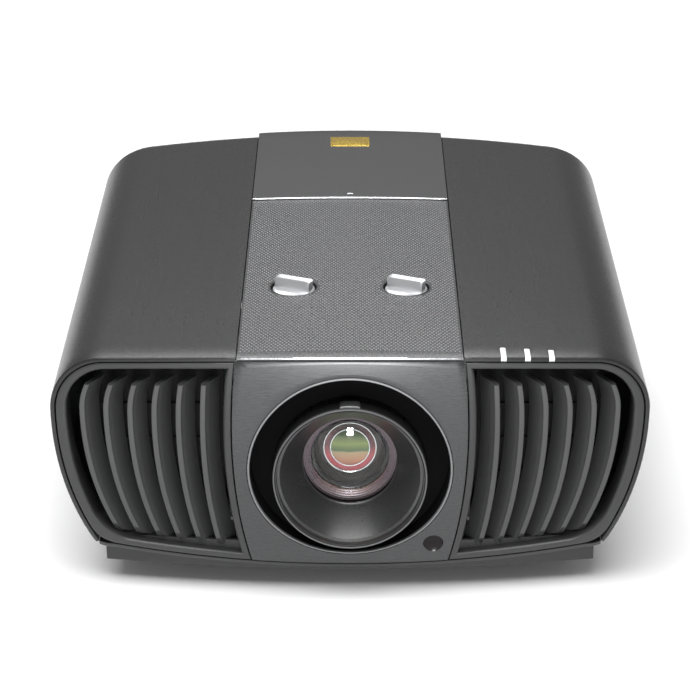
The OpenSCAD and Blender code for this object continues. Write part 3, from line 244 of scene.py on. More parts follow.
def piece(name, points, faces, skins, body="case", sharp=SHARP, face_skins=None):
    """Object from points in millimetres, smooth but for edges sharper than the angle."""
    data = bpy.data.meshes.new(name)
    data.from_pydata([(p[0] * MM, p[1] * MM, p[2] * MM) for p in points], [], faces)
    skins = skins if isinstance(skins, (list, tuple)) else [skins]
    for skin in skins:
        data.materials.append(skin)
    if face_skins:
        data.polygons.foreach_set("material_index", face_skins)
    made = bpy.data.objects.new(name, data)
    bpy.context.scene.collection.objects.link(made)
    tidy_mesh(made, sharp)
    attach(made, body)
    return made


def tidy_mesh(made, sharp):
    work = bmesh.new()
    work.from_mesh(made.data)
    bmesh.ops.remove_doubles(work, verts=work.verts, dist=1e-7)
    bmesh.ops.recalc_face_normals(work, faces=work.faces)
    limit = math.radians(sharp)
    for face in work.faces:
        face.smooth = True
    for edge in work.edges:
        edge.smooth = len(edge.link_faces) != 2 or edge.calc_face_angle(0) < limit
    work.to_mesh(made.data)
    work.free()


def loft_faces(rows, count, ring=True, closed=False, caps=True):
    """Faces between rows of count points. ring joins a row's ends, closed joins the last row to the first."""
    faces = []
    last = rows if closed else rows - 1
    across = count if ring else count - 1
    for k in range(last):
        for j in range(across):
            a, b = k * count + j, k * count + (j + 1) % count
            c, d = ((k + 1) % rows) * count + (j + 1) % count, ((k + 1) % rows) * count + j
            faces.append((a, b, c, d))
    if caps and ring and not closed:
        faces.append(tuple(range(count - 1, -1, -1)))
        faces.append(tuple(range((rows - 1) * count, rows * count)))
    return faces


def loft(name, rows, skins, body="case", closed=False, sharp=SHARP, face_skin=None):
    """Piece through rows of points. face_skin says which of the skins a face takes."""
    count = len(rows[0])
    points = [p for row in rows for p in row]
    faces = loft_faces(len(rows), count, closed=closed)
    marks = None
    if face_skin:
        marks = [face_skin([points[i] for i in face]) for face in faces]
    return piece(name, points, faces, skins, body, sharp, marks)


def turned(name, profile, skins, body, centre, axis="Y", steps=128, sharp=SHARP, face_skin=None):
    """Closed profile of (radius, along) turned about an axis through centre."""
    rows = []
    for k in range(steps):
        a = 2 * math.pi * k / steps
        row = []
        for r, t in profile:
            if axis == "Y":
                row.append((centre[0] + r * math.cos(a), t, centre[2] + r * math.sin(a)))
            else:
                row.append((centre[0] + r * math.cos(a), centre[1] + r * math.sin(a), t))
        rows.append(row)
    return loft(name, rows, skins, body, closed=True, sharp=sharp, face_skin=face_skin)


def mean(pts, axis):
    return sum(p[axis] for p in pts) / len(pts)


def mirrored(rows):
    return [[(-x, y, z) for x, y, z in row] for row in rows]


def cut(made, cutters):
    """Takes the closed cutters out of the piece and removes them."""
    for cutter in cutters:
        step = made.modifiers.new("cut", "BOOLEAN")
        step.operation = "DIFFERENCE"
        step.solver = "EXACT"
        step.object = cutter
    bpy.context.view_layer.update()
    graph = bpy.context.evaluated_depsgraph_get()
    data = bpy.data.meshes.new_from_object(made.evaluated_get(graph))
    made.modifiers.clear()
    made.data = data
    for cutter in cutters:
        bpy.data.objects.remove(cutter)
    tidy_mesh(made, SHARP)


def cutter(points, sides):
    """Closed prism from its two rows of points. It rides on nothing, because cut() removes it."""
    data = bpy.data.meshes.new("cutter")
    data.from_pydata([tuple(v * MM for v in p) for p in points], [], loft_faces(2, sides))
    made = bpy.data.objects.new("cutter", data)
    bpy.context.scene.collection.objects.link(made)
    tidy_mesh(made, SHARP)
    return made


def rod(centre, radius, axis, low, high, sides=48):
    """Plain closed cylinder used as a cutter."""
    ring = []
    for t in (low, high):
        for k in range(sides):
            a = 2 * math.pi * k / sides
            if axis == "Y":
                ring.append((centre[0] + radius * math.cos(a), t, centre[1] + radius * math.sin(a)))
            else:
                ring.append((centre[0] + radius * math.cos(a), centre[1] + radius * math.sin(a), t))
    return cutter(ring, sides)


def block(low, high):
    """Plain closed box used as a cutter."""
    points = [(x, y, z) for z in (low[2], high[2]) for x, y in
              ((low[0], low[1]), (high[0], low[1]), (high[0], high[1]), (low[0], high[1]))]
    return cutter(points, 4)


# ---- Side covers ----


def cover_rows():
    """Sections from front to back, one for each place round the outline."""
    start = CROWN_R * math.asin((STRIP + SEAM / 2) / CROWN_R)
    end = side_length(COVER_LOW)
    stops = [start + (CROWN_LEN - start) * k / 14 for k in range(15)]
    stops += [CROWN_LEN + CORNER_LEN * k / 18 for k in range(1, 19)]
    stops += [CROWN_LEN + CORNER_LEN + (end - CROWN_LEN - CORNER_LEN) * k / 20 for k in range(1, 21)]
    lip, round_back = 1.1, 13.0
    rows = []
    for n, s in enumerate(stops):
        edge = 0.5 if n in (0, len(stops) - 1) else 0.0
        section = []

        def add(inset, y):
            x, z = outline_at(s, inset, inset)
            section.append((x, y, z))

        def front(inset, more):
            x, z = outline_at(s, inset, inset)
            add(inset, front_at(x, z) + more)

        for inset, more in ((WALL, 30.0), (WALL, 0.5), (WALL - 0.4, 0.0), (lip + 0.4, 0.0)):
            front(inset, more)
        for k in range(1, 5):
            a = math.radians(90 * k / 4)
            front(edge + lip * (1 - math.sin(a)), lip * (1 - math.cos(a)))
        x, z = outline_at(s, 0, 0)
        y0 = front_at(x, z) + lip
        y1 = back_at(x, z, 3.4) - round_back
        for k in range(1, 25):
            add(edge, y0 + (y1 - y0) * k / 24)
        for k in range(1, 9):
            a = math.acos(1 - 3.0 / round_back) * k / 8
            add(max(edge, round_back * (1 - math.cos(a))), y1 + round_back * math.sin(a))
        tail = y1 + round_back * math.sin(math.acos(1 - 3.0 / round_back))
        add(WALL, tail - 0.3)
        for k in range(1, 8):
            add(WALL, tail - 0.3 + (y0 + 32.0 - tail) * k / 8)
        rows.append(section)
    return rows


COVER_ROWS = cover_rows()
left_cover = loft("left_cover_skin", mirrored(COVER_ROWS), COVER)
right_cover = loft("right_cover_skin", COVER_ROWS, COVER)
PIPE_HIGH = box_mm("light_pipes")[1]
PIPE_XS = (118.8, 137.6, 156.4)
PIPE_SLOTS = [block((x - 2.5, FRONT_Y - 5, TOP_Z - 14), (x + 2.5, PIPE_HIGH[1] + 0.2, TOP_Z + 9))
              for x in PIPE_XS]
cut(right_cover, PIPE_SLOTS)
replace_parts(left_cover, "left_side_cover")
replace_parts(right_cover, "right_side_cover")

# ---- Centre strip: textured deck and rear cover ----

DECK_HALF = STRIP - SEAM / 2


def strip_rows(y0, y1, proud, under, lip, tail, front_curved=False, steps=28):
    """Sections along Y of a crowned plate, one for each place across it, with rounded ends and sides."""
    rows = []
    half = DECK_HALF
    places = [-half + 2 * half * k / steps for k in range(steps + 1)]
    places = [-half, -half + 0.4] + places[1:-1] + [half - 0.4, half]
    for x in places:
        edge = 0.45 if abs(x) > half - 0.01 else 0.0
        z_top = crown_z(x, -proud) - edge
        z_low = crown_z(x, under)
        start = y0(x) if callable(y0) else y0
        stop = y1(x) if callable(y1) else y1
        section = [(x, start + 0.1, z_low), (x, start, z_low + 0.3)]
        for k in range(6):
            a = math.radians(90 * k / 5)
            section.append((x, start + lip * (1 - math.cos(a)), z_top - lip * (1 - math.sin(a))))
        flat_start = start + lip + 0.2
        section.append((x, max(flat_start, BAND_END) if front_curved else flat_start, z_top))
        for k in range(1, 12):
            section.append((x, start + lip + 12.0 + (stop - tail - start - lip - 12.0) * k / 12, z_top))
        for k in range(6):
            a = math.radians(90 * k / 5)
            drop = tail * (1 - math.cos(a))
            section.append((x, stop - tail + tail * math.sin(a), max(z_low + 0.3, z_top - drop)))
        section.append((x, stop - 0.1, z_low))
        for k in range(1, 12):
            section.append((x, stop + (start - stop) * k / 12, z_low))
        rows.append(section)
    return rows


def deck_skin_painted_glint_and_shade(pts):
    """Painted highlight: silver on the turned-down front edge as its glint line; plain band behind it; behind
    that the deck paint, darkened as painted shade from the dots.
    """
    x, y = mean(pts, 0), max(p[1] for p in pts)
    if y < front_at(x, DECK_EDGE_Z) + 0.75 and min(p[2] for p in pts) > crown_z(x) - 1.9:
        return 2
    return 1 if mean(pts, 1) < BAND_END else 0


DECK_ROWS = strip_rows(lambda x: front_at(x, DECK_EDGE_Z), DECK_END - SEAM, 0.0, 2.6, 1.5, 0.5,
                       front_curved=True)
deck = loft("deck_plate", DECK_ROWS, [DECK_PAINTED_DOT_SHADE, BAND, SILVER_AND_PAINTED_GLINT], face_skin=deck_skin_painted_glint_and_shade)
cut(deck, [rod((side * KNOB_X, KNOB_Y), KNOB_HOLE_R, "Z", TOP_Z - 12, TOP_Z + 9, 96) for side in (-1, 1)])
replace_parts(deck, "shift_deck")
KNOB_TOP = crown_z(KNOB_X)
WELL = ((19.9, -1.2), (19.8, -0.05), (19.45, 0.22), (19.15, 0.1), (19.0, -0.4), (19.0, -9.6), (6.2, -9.6),
        (6.2, -11.0), (21.0, -11.0), (21.0, -2.8), (19.9, -2.7))
for side, word in ((-1, "left"), (1, "right")):
    turned(f"{word}_knob_well", [(r, KNOB_TOP + z) for r, z in WELL], [DECK_PAINTED_DOT_SHADE, BLACK], "case",
           (side * KNOB_X, KNOB_Y, 0), "Z", face_skin=lambda pts: int(mean(pts, 2) < KNOB_TOP - 1.0))


def deck_dots():
    """Low round dots in staggered rows over the deck behind its smooth front band."""
    pitch, radius, height = 3.4, 0.95, 0.42
    row_step = pitch * math.sqrt(3) / 2
    points, faces = [], []
    sides = 8
    y = EDGE_Y + 11.5
    row = 0
    while y < DECK_END - 4.0:
        count = int((DECK_HALF - 2.4) / pitch)
        for n in range(-count - 1, count + 1):
            x = (n + (0.5 if row % 2 else 0.0)) * pitch
            if abs(x) > DECK_HALF - 1.8:
                continue
            if min(math.hypot(x - s * KNOB_X, y - KNOB_Y) for s in (-1, 1)) < 21.6:
                continue
            base = len(points)
            for share, lift in ((1.0, -0.15), (0.62, height * 0.72)):
                for k in range(sides):
                    a = 2 * math.pi * k / sides
                    px, py = x + radius * share * math.cos(a), y + radius * share * math.sin(a)
                    points.append((px, py, crown_z(px) + lift))
            points.append((x, y, crown_z(x) + height))
            for k in range(sides):
                j = (k + 1) % sides
                faces.append((base + k, base + j, base + sides + j, base + sides + k))
                faces.append((base + sides + k, base + sides + j, base + 2 * sides))
            faces.append(tuple(base + k for k in range(sides - 1, -1, -1)))
        y += row_step
        row += 1
    return points, faces


DOTS = deck_dots()
# The dots take the lighter dot paint: painted highlight on each bump.
piece("deck_dots", DOTS[0], DOTS[1], DOT_PAINTED_HIGHLIGHT, sharp=60.0)


def rear_skin_painted_glint(pts):
    """Painted highlight: silver on the front edge as its glint line; satin paint behind it."""
    return int(max(p[1] for p in pts) < DECK_END + 1.3 and min(p[2] for p in pts) > crown_z(pts[0][0]) + 0.4)


REAR_ROWS = strip_rows(DECK_END + 0.2, lambda x: back_at(x, TOP_Z), REAR_PROUD, 1.0, 0.9, 5.5)
rear = loft("rear_cover_skin", REAR_ROWS, [REAR, SILVER_AND_PAINTED_GLINT], body="rear_cover", face_skin=rear_skin_painted_glint)
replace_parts(rear, "rear_top_cover")


def patch(name, skin, outline, thick):
    """Thin plate with a given outline lying on the rear cover."""
    base = [crown_z(x, -REAR_PROUD) for x, y in outline]
    rows = [[(x, y, z + lift) for (x, y), z in zip(outline, base)] for lift in (-0.2, thick * 0.6)]
    middle = mean(outline, 0), mean(outline, 1)
    inner = [(middle[0] + (x - middle[0]) * 0.97, middle[1] + (y - middle[1]) * 0.95) for x, y in outline]
    rows.append([(x, y, crown_z(x, -REAR_PROUD) + thick) for x, y in inner])
    return loft(name, rows, skin, "rear_cover")


def round_rect(x0, y0, x1, y1, r, steps=6):
    points = []
    corners = ((x1 - r, y1 - r, 0), (x0 + r, y1 - r, 90), (x0 + r, y0 + r, 180), (x1 - r, y0 + r, 270))
    for cx, cy, a0 in corners:
        for k in range(steps + 1):
            a = math.radians(a0 + 90 * k / steps)
            points.append((cx + r * math.cos(a), cy + r * math.sin(a)))
    return points


patch("gold_badge", GOLD, round_rect(-18.5, EDGE_Y + 496, 18.5, EDGE_Y + 523, 0.8), 0.35)
ARROW = ((-2.7, 9.0), (2.7, 9.0), (0.4, 13.0), (-0.4, 13.0))
patch("arrow_mark", SILVER_AND_PAINTED_GLINT, [(x, DECK_END + y) for x, y in ARROW], 0.3)

# ---- Front panel, trim ring and receiver window ----


def panel_loop(inset, steps=30):
    """Outline of the front panel, from the lower right corner up, over and round."""
    z_top = TOP_Z - 3.0 - inset
    z_low = lower_edge(panel_edge(LOWER_Z)) + inset
    side = [(panel_edge(z_low + (z_top - z_low) * k / steps) - inset, z_low + (z_top - z_low) * k / steps)
            for k in range(steps + 1)]
    wide = side[-1][0]
    across = [wide * (1 - 2 * k / steps) for k in range(1, steps)]
    top = [(x, crown_z(x, 3.0 + inset)) for x in across]
    wide = side[0][0]
    across = [-wide + 2 * wide * k / steps for k in range(1, steps)]
    low = [(x, lower_edge(x) + inset) for x in across]
    left = [(-x, z) for x, z in reversed(side)]
    return side + top + left + low


def panel_rows():
    """Sections from the round opening out to the edge of the panel, one for each place round it."""
    rows = []
    r0 = OPENING_R
    for x, z in panel_loop(0.0):
        dz = z - OPENING_Z
        size = math.hypot(x, dz)
        ux, uz = x / size, dz / size
        section = [(r0, 2.6), (r0, 0.7), (r0 + 0.2, 0.2), (r0 + 0.8, 0.0)]
        for k in range(1, 7):
            section.append((r0 + 0.8 + (size - 0.8 - r0 - 0.8) * k / 6, 0.0))
        section += [(size - 0.22, 0.22), (size, 0.8), (size, 2.6)]
        row = []
        for r, depth in section:
            px, pz = ux * r, OPENING_Z + uz * r
            row.append((px, front_at(px, pz, depth), pz))
        rows.append(row)
    return rows


panel = loft("front_panel_skin", panel_rows(), PANEL, closed=True)
IR_LOW, IR_HIGH = box_mm("ir_window")
IR_X, IR_Z = (IR_LOW[0] + IR_HIGH[0]) / 2, (IR_LOW[2] + IR_HIGH[2]) / 2
cut(panel, [rod((IR_X, IR_Z), 8.1, "Y", FRONT_Y - 5, FRONT_Y + 30, 64)])
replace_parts(panel, "front_panel")
IR_Y = front_at(IR_X, IR_Z)
DISH = ((0.01, 1.6), (3.0, 1.45), (6.0, 0.95), (7.6, 0.5), (7.9, 0.9), (7.9, 3.0), (0.01, 3.0))
window = turned("receiver_window", [(r, IR_Y + y) for r, y in DISH], WINDOW, "case", (IR_X, 0, IR_Z))
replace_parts(window, "ir_window")


def trim_rows(steps=180):
    """Silver rim and the dark tube behind it, which ends at the light shroud."""
    shroud = box_mm("lens_shroud")[0][1] - 0.3
    profile = ((80.85, 14.0), (80.85, 0.5), (80.5, -0.05), (79.9, -0.24), (79.3, -0.1), (78.9, 0.5), (78.8, 2.4),
               (78.8, 24.0), (80.0, 24.0))
    rows = []
    for k in range(steps):
        a = 2 * math.pi * k / steps
        row = []
        for r, depth in profile:
            x, z = r * math.cos(a), OPENING_Z + r * math.sin(a)
            row.append((x, min(front_at(x, z, depth), shroud), z))
        rows.append(row)
    return rows


def trim_skin(pts):
    """Black inside the tube, metal on the rim."""
    inner = min(math.hypot(p[0], p[2] - OPENING_Z) for p in pts) < 79.0
    return int(inner and mean(pts, 1) > front_at(79, pts[0][2], 2.0))


trim = loft("trim_ring", trim_rows(), [TRIM, DARK], closed=True, face_skin=trim_skin)
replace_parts(trim, "lens_trim_ring")

# ---- Grille frames and vanes ----


def fillet(points, index, radius, steps):
    """Rounds one corner of a closed loop."""
    n = len(points)

    def walk(step):
        left, i = radius, index
        while True:
            a, b = points[i % n], points[(i + step) % n]
            size = math.hypot(b[0] - a[0], b[1] - a[1])
            if size >= left:
                return (a[0] + (b[0] - a[0]) * left / size, a[1] + (b[1] - a[1]) * left / size), (i + step) % n
            left -= size
            i += step

    (p0, i0), (p1, i1) = walk(-1), walk(1)
    corner = points[index]
    arc = []
    for k in range(steps + 1):
        t = k / steps
        arc.append(((1 - t) ** 2 * p0[0] + 2 * t * (1 - t) * corner[0] + t * t * p1[0],
                    (1 - t) ** 2 * p0[1] + 2 * t * (1 - t) * corner[1] + t * t * p1[1]))
    keep = []
    i = i1
    while i != i0:
        keep.append(points[i])
        i = (i + 1) % n
    keep.append(points[i0])
    return arc + keep


def grille_loop(inset_top, inset_side, gap, lift, round_low):
    """Outline of the grille opening on the right from its upper inner corner, and its four marks."""
    z_low = lower_edge(185.0) + 1.0 + lift
    top_start = CROWN_R * math.asin((panel_edge(TOP_Z - 5) + gap) / CROWN_R)
    rim_length = side_length(z_low) - top_start
    rim = [outline_at(top_start + rim_length * k / 90, inset_top, inset_side) for k in range(91)]
    x_end = rim[-1][0]
    z_start = lower_edge(panel_edge(LOWER_Z)) + lift
    x_in = panel_edge(z_start) + gap
    across = [x_end + (x_in - x_end) * k / 30 for k in range(1, 31)]
    low = [(x, lower_edge(x) + lift) for x in across]
    z_top = rim[0][1]
    up = [z_start + (z_top - z_start) * k / 30 for k in range(1, 30)]
    edge = [(panel_edge(z) + gap, z) for z in up]
    loop = fillet(rim + low + edge, 90, round_low, 14)
    first = min(range(len(loop)), key=lambda i: math.hypot(loop[i][0] - rim[0][0], loop[i][1] - rim[0][1]))
    loop = loop[first:] + loop[:first]
    corner = outline_at(CROWN_LEN + CORNER_LEN / 2, inset_top, inset_side)
    return loop, (rim[0], corner, (x_end, low[0][1]), low[-1])


def matched(loop_and_marks, counts=(50, 70, 40, 50)):
    """The loop resampled between its marks, so that two loops match point for point."""
    loop, marks = loop_and_marks
    n = len(loop)
    stops = [min(range(n), key=lambda i: math.hypot(loop[i][0] - m[0], loop[i][1] - m[1])) for m in marks]
    stops.append(n)
    loop = loop + [loop[0]]
    result = []
    for a, b, count in zip(stops[:-1], stops[1:], counts):
        part = loop[a:b + 1]
        run = [0.0]
        for p, q in zip(part[:-1], part[1:]):
            run.append(run[-1] + math.hypot(q[0] - p[0], q[1] - p[1]))
        for k in range(count):
            want = run[-1] * k / count
            i = max(j for j in range(len(run)) if run[j] <= want + 1e-9)
            i = min(i, len(part) - 2)
            t = (want - run[i]) / max(1e-9, run[i + 1] - run[i])
            (xa, za), (xb, zb) = part[i], part[i + 1]
            result.append((xa + (xb - xa) * t, za + (zb - za) * t))
    return result


LIP = WALL + SEAM
OUTER_LOOP = matched(grille_loop(LIP, LIP, SEAM, 0.0, 14.0))
INNER_LOOP = matched(grille_loop(LIP + 5.8, LIP + 8.8, SEAM + 6.0, 7.0, 22.0))


def frame_rows():
    """Sections from the outer loop in to the opening, one for each pair of matched points."""
    rows = []
    for (ox, oz), (ix, iz) in zip(OUTER_LOOP, INNER_LOOP):
        width = math.hypot(ix - ox, iz - oz)
        ux, uz = (ix - ox) / width, (iz - oz) / width
        section = [(0.0, 25.5), (0.0, 1.5), (0.25, 0.7), (0.9, 0.35)]
        section += [(0.9 + (width - 3.4) * k / 4, 0.35) for k in (1, 2, 3, 4)]
        section += [(width - 1.5, 0.75), (width - 0.7, 1.6), (width - 0.2, 2.8)]
        section += [(width, depth) for depth in (4.2, 12.0, 25.5)]
        row = []
        for t, depth in section:
            x, z = ox + ux * t, oz + uz * t
            row.append((x, front_at(x, z, depth), z))
        rows.append(row)
    return rows


FRAME_ROWS = frame_rows()
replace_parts(loft("right_bezel", FRAME_ROWS, BEZEL, closed=True), "right_grille_frame")
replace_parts(loft("left_bezel", mirrored(FRAME_ROWS), BEZEL, closed=True), "left_grille_frame")


def lip_rows(half=203.0, height=4.0, steps=60):
    """Curved lip a seam below the grilles and the front panel, back to the front wall of the tray."""
    rows = []
    for k in range(steps + 1):
        x = -half + 2 * half * k / steps
        z1 = min(lower_edge(x), COVER_LOW) - SEAM
        z0 = z1 - height
        end = max(0.0, abs(x) - half + 5.0) ** 2 / 8
        back = FRONT_Y + 31.0 + PLAN_R - math.sqrt(PLAN_R**2 - x * x)
        f1, f0 = front_at(x, z1) + end, front_at(x, z0) + end
        section = ((back, z1), (f1 + 1.2, z1), (f1 + 0.7, z1 - 0.4), ((f1 + f0) / 2 + 0.5, (z1 + z0) / 2),
                   (f0 + 0.8, z0 + 0.6), (f0 + 1.4, z0), (back, z0))
        rows.append([(x, y, z) for y, z in section])
    return rows


loft("front_lip_band", lip_rows(), BEZEL)

VANES = 6
RAIL_Z = 60.0


def vane_x(i, z):
    """Middle of vane i at a height, counted from the outermost vane."""
    side = math.sqrt(SIDE_R**2 - min(0.0, z - CORNER_Z) ** 2)
    out = HALF_W - SIDE_R + side - 25.0 - max(0.0, z - CORNER_Z) ** 2 / 90
    inner = panel_edge(z) + 23.0
    return out + (inner - out) * i / (VANES - 1)


def quarter(t):
    """Drop of a unit quarter circle, from 1 at t = 0 to 0 at t = 1."""
    return 1 - math.sqrt(max(0.0, 1 - (1 - t) ** 2))


def vane_rows(i, levels=44):
    """One vane as level sections: flat front edge, small radii, level top, bottom that drops away."""
    top = TOP_Z - 29 + 5 * i / (VANES - 1)
    low = lower_edge(vane_x(i, LOWER_Z + 40)) + 15
    lean, depth, face = -10.7, 17.5, 4.5
    section = []
    for a in range(5):
        t = math.radians(90 * a / 4)
        section.append((face / 2 - 0.9 + 0.9 * math.sin(t), 0.9 - 0.9 * math.cos(t)))
    section += [(face / 2 + lean * t, depth * t) for t in (0.12, 0.3, 0.5, 0.75)]
    section += [(face / 2 + lean - 0.4, depth), (-face / 2 + lean + 0.9, depth)]
    section += [(-face / 2 + lean * t, depth * t) for t in (0.75, 0.5, 0.3, 0.12)]
    for a in range(5):
        t = math.radians(90 * a / 4)
        section.append((-face / 2 + 0.9 - 0.9 * math.cos(t), 0.9 - 0.9 * math.sin(t)))
    rows = []
    for k in range(levels + 1):
        share = k / levels
        row = []
        for dx, dy in section:
            back = dy / depth
            tip = min(1.0, back * 5.0)
            z_top = top - 2.2 * quarter(tip)
            z_low = low + 2.0 * quarter(tip) - 11.0 * math.sqrt(max(0.0, 1 - (1 - back) ** 2))
            z = z_low + (z_top - z_low) * share
            x = vane_x(i, z)
            row.append((x + dx, front_at(x, z, 6.0) + dy, z))
        rows.append(row)
    return rows


def rail_rows():
    """Square rail that joins the vanes behind them."""
    x0, x1 = panel_edge(RAIL_Z) + SEAM + 6.3, vane_x(0, RAIL_Z) + 6.0
    rows = []
    for k in range(13):
        x = x0 + (x1 - x0) * k / 12
        y = front_at(x, RAIL_Z, 22.5)
        low, high = RAIL_Z - 1.5, RAIL_Z + 1.5
        rows.append([(x, y, low), (x, y + 3, low), (x, y + 3, high), (x, y, high)])
    return rows


def vane_set(name, flip):
    points, faces = [], []
    for rows in [vane_rows(i) for i in range(VANES)] + [rail_rows()]:
        if flip:
            rows = mirrored(rows)
        base = len(points)
        points += [p for row in rows for p in row]
        faces += [tuple(v + base for v in f) for f in loft_faces(len(rows), len(rows[0]))]
    return piece(name, points, faces, VANE, sharp=40.0)


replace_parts(vane_set("right_vanes", False), "right_grille_vanes")
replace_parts(vane_set("left_vanes", True), "left_grille_vanes")

# ---- Lens ----

AXIS = (0.0, 0.0, LENS_Z)


def lens_part(name, start, profile, skins, body, steps, **more):
    """Turned piece on the lens axis. The profile's second values count from start."""
    return turned(name, [(r, start + y) for r, y in profile], skins, body, AXIS, steps=steps, **more)


RING_PROFILE = ((59.45, 14.2), (59.45, 1.0), (59.6, 0.3), (60.1, 0.0), (60.5, 0.05), (60.95, 0.7), (61.0, 2.2),
                (61.0, 14.2))
ring_body = lens_part("focus_ring_body", RIM_Y, RING_PROFILE, [RIM, BLACK], "focus_unit", 180,
                      face_skin=lambda pts: 0 if mean(pts, 1) < RIM_Y + 1.6 else 1)
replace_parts(ring_body, "focus_ring")
HOOD_PROFILE = ((59.1, 14.0), (59.1, 1.2), (58.7, 0.6), (58.2, 0.9), (57.9, 2.5), (57.6, 6.0), (56.9, 6.3),
                (55.6, 6.9), (52.0, 12.4), (47.0, 20.3), (42.0, 28.3), (39.2, 32.8), (38.3, 34.6), (37.7, 35.0),
                (37.6, 36.4), (44.0, 36.4), (51.5, 24.8))
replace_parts(lens_part("hood_cone", RIM_Y, HOOD_PROFILE, HOOD, "lens_body", 180), "lens_hood")

TAB_LOW, TAB_HIGH = box_mm("focus_tab")


def arc_block(name, skin, body, r0, r1, y0, y1, half_angle, bevel=0.35):
    """Block that lies round the lens axis at its top, with its outer edges taken off."""
    rows = []
    for k in range(13):
        a = -half_angle + 2 * half_angle * k / 12
        end = bevel if k in (0, 12) else 0.0
        section = [(r0, y0), (r1 - bevel - end, y0 + end), (r1 - end, y0 + bevel + end),
                   (r1 - end, y1 - bevel), (r1 - bevel, y1), (r0, y1)]
        rows.append([(r * math.sin(a), y, LENS_Z + r * math.cos(a)) for r, y in section])
    return loft(name, rows, skin, body)


TAB_TOP_R = TAB_HIGH[2] - LENS_Z
tab = arc_block("focus_tab_grip", TRIM, "focus_unit", 61.0, TAB_TOP_R, TAB_LOW[1], TAB_HIGH[1], 8.0 / 62.0)
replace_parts(tab, "focus_tab")

# Silver cell round the front glass: fine turned steps down to the glass
CELL_Y = box_mm("front_lens_cell")[0][1]
CELL_PROFILE = ((37.9, 24.0), (37.9, 1.0), (37.4, 0.3), (36.2, 0.3), (35.9, 1.2), (35.0, 1.3), (34.7, 2.6),
                (33.8, 2.8), (33.5, 4.3), (32.6, 4.5), (32.3, 6.2), (31.6, 6.4), (31.2, 8.0), (31.1, 12.2),
                (27.2, 12.2), (26.8, 13.4), (26.8, 24.0))


def cell_skin(pts):
    """Black outside and behind, thin polished edges, dull turned metal between them."""
    radii = [math.hypot(p[0], p[2] - LENS_Z) for p in pts]
    if min(radii) > 37.0 or min(p[1] for p in pts) > CELL_Y + 11.9:
        return 1
    return 0 if 0.1 < max(radii) - min(radii) < 0.45 and max(radii) < 36.0 else 2


cell = lens_part("front_cell_rings", CELL_Y, CELL_PROFILE, [CHROME, DARK, CELL], "front_glass_unit", 160,
                 sharp=20.0, face_skin=cell_skin)
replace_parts(cell, "front_lens_cell")


def glass_material(name, tint):
    """Clear glass with a faint tint, and weak reflections as coated glass has."""
    made = bpy.data.materials.new(name)
    made.use_nodes = True
    tree = made.node_tree
    skin = tree.nodes["Principled BSDF"]
    place = tree.nodes.new("ShaderNodeTexCoord")
    noise = tree.nodes.new("ShaderNodeTexNoise")
    noise.inputs["Scale"].default_value = 14.0
    tree.links.new(place.outputs["Object"], noise.inputs["Vector"])
    ramp = tree.nodes.new("ShaderNodeValToRGB")
    ramp.color_ramp.elements[0].color = [c * 0.94 for c in tint] + [1]
    ramp.color_ramp.elements[1].color = list(tint) + [1]
    tree.links.new(noise.outputs["Fac"], ramp.inputs["Fac"])
    tree.links.new(ramp.outputs["Color"], skin.inputs["Base Color"])
    skin.inputs["Roughness"].default_value = 0.02
    skin.inputs["Transmission Weight"].default_value = 1.0
    skin.inputs["IOR"].default_value = 1.45
    skin.inputs["Specular IOR Level"].default_value = 0.12
    return made


GLASS = glass_material("coated_glass", (0.97, 0.99, 0.98))


def coating_with_painted_reflection(name, centre_z, reach, stops):
    """Lens coating with a painted reflection: its colour changes from a bright hue at its lower edge to near
    black at its upper edge, as painted light.
    """
    made = bpy.data.materials.new(name)
    made.use_nodes = True
    tree = made.node_tree
    skin = tree.nodes["Principled BSDF"]
    place = tree.nodes.new("ShaderNodeTexCoord")
    split = tree.nodes.new("ShaderNodeSeparateXYZ")
    tree.links.new(place.outputs["Object"], split.inputs["Vector"])
    noise = tree.nodes.new("ShaderNodeTexNoise")
    noise.inputs["Scale"].default_value = 160.0
    tree.links.new(place.outputs["Object"], noise.inputs["Vector"])
    mix = tree.nodes.new("ShaderNodeMath")
    mix.operation = "MULTIPLY_ADD"
    mix.inputs[1].default_value = 0.0016
    tree.links.new(noise.outputs["Fac"], mix.inputs[0])
    tree.links.new(split.outputs["Z"], mix.inputs[2])
    span = tree.nodes.new("ShaderNodeMapRange")
    span.inputs["From Min"].default_value = (centre_z - reach) * MM
    span.inputs["From Max"].default_value = (centre_z + reach) * MM
    tree.links.new(mix.outputs[0], span.inputs["Value"])
    ramp = tree.nodes.new("ShaderNodeValToRGB")
    ramp.color_ramp.elements[0].position = stops[0][0]
    ramp.color_ramp.elements[0].color = list(stops[0][1]) + [1]
    ramp.color_ramp.elements[1].position = stops[-1][0]
    ramp.color_ramp.elements[1].color = list(stops[-1][1]) + [1]
    for where, colour in stops[1:-1]:
        ramp.color_ramp.elements.new(where).color = list(colour) + [1]
    tree.links.new(span.outputs["Result"], ramp.inputs["Fac"])
    tree.links.new(ramp.outputs["Color"], skin.inputs["Base Color"])
    skin.inputs["Roughness"].default_value = 0.4
    skin.inputs["Metallic"].default_value = 0.3
    return made


# Painted reflection on the pupil element: bright red and orange below, greens above, near black at the top.
PUPIL_PAINTED_REFLECTION = coating_with_painted_reflection("pupil_coating_painted_reflection", LENS_Z, 15.0, (
    (0.0, (0.60, 0.13, 0.11)), (0.18, (0.72, 0.33, 0.19)), (0.40, (0.60, 0.44, 0.24)),
    (0.45, (0.12, 0.20, 0.07)), (0.62, (0.26, 0.33, 0.07)), (0.82, (0.07, 0.11, 0.03)),
    (1.0, (0.008, 0.018, 0.008))))
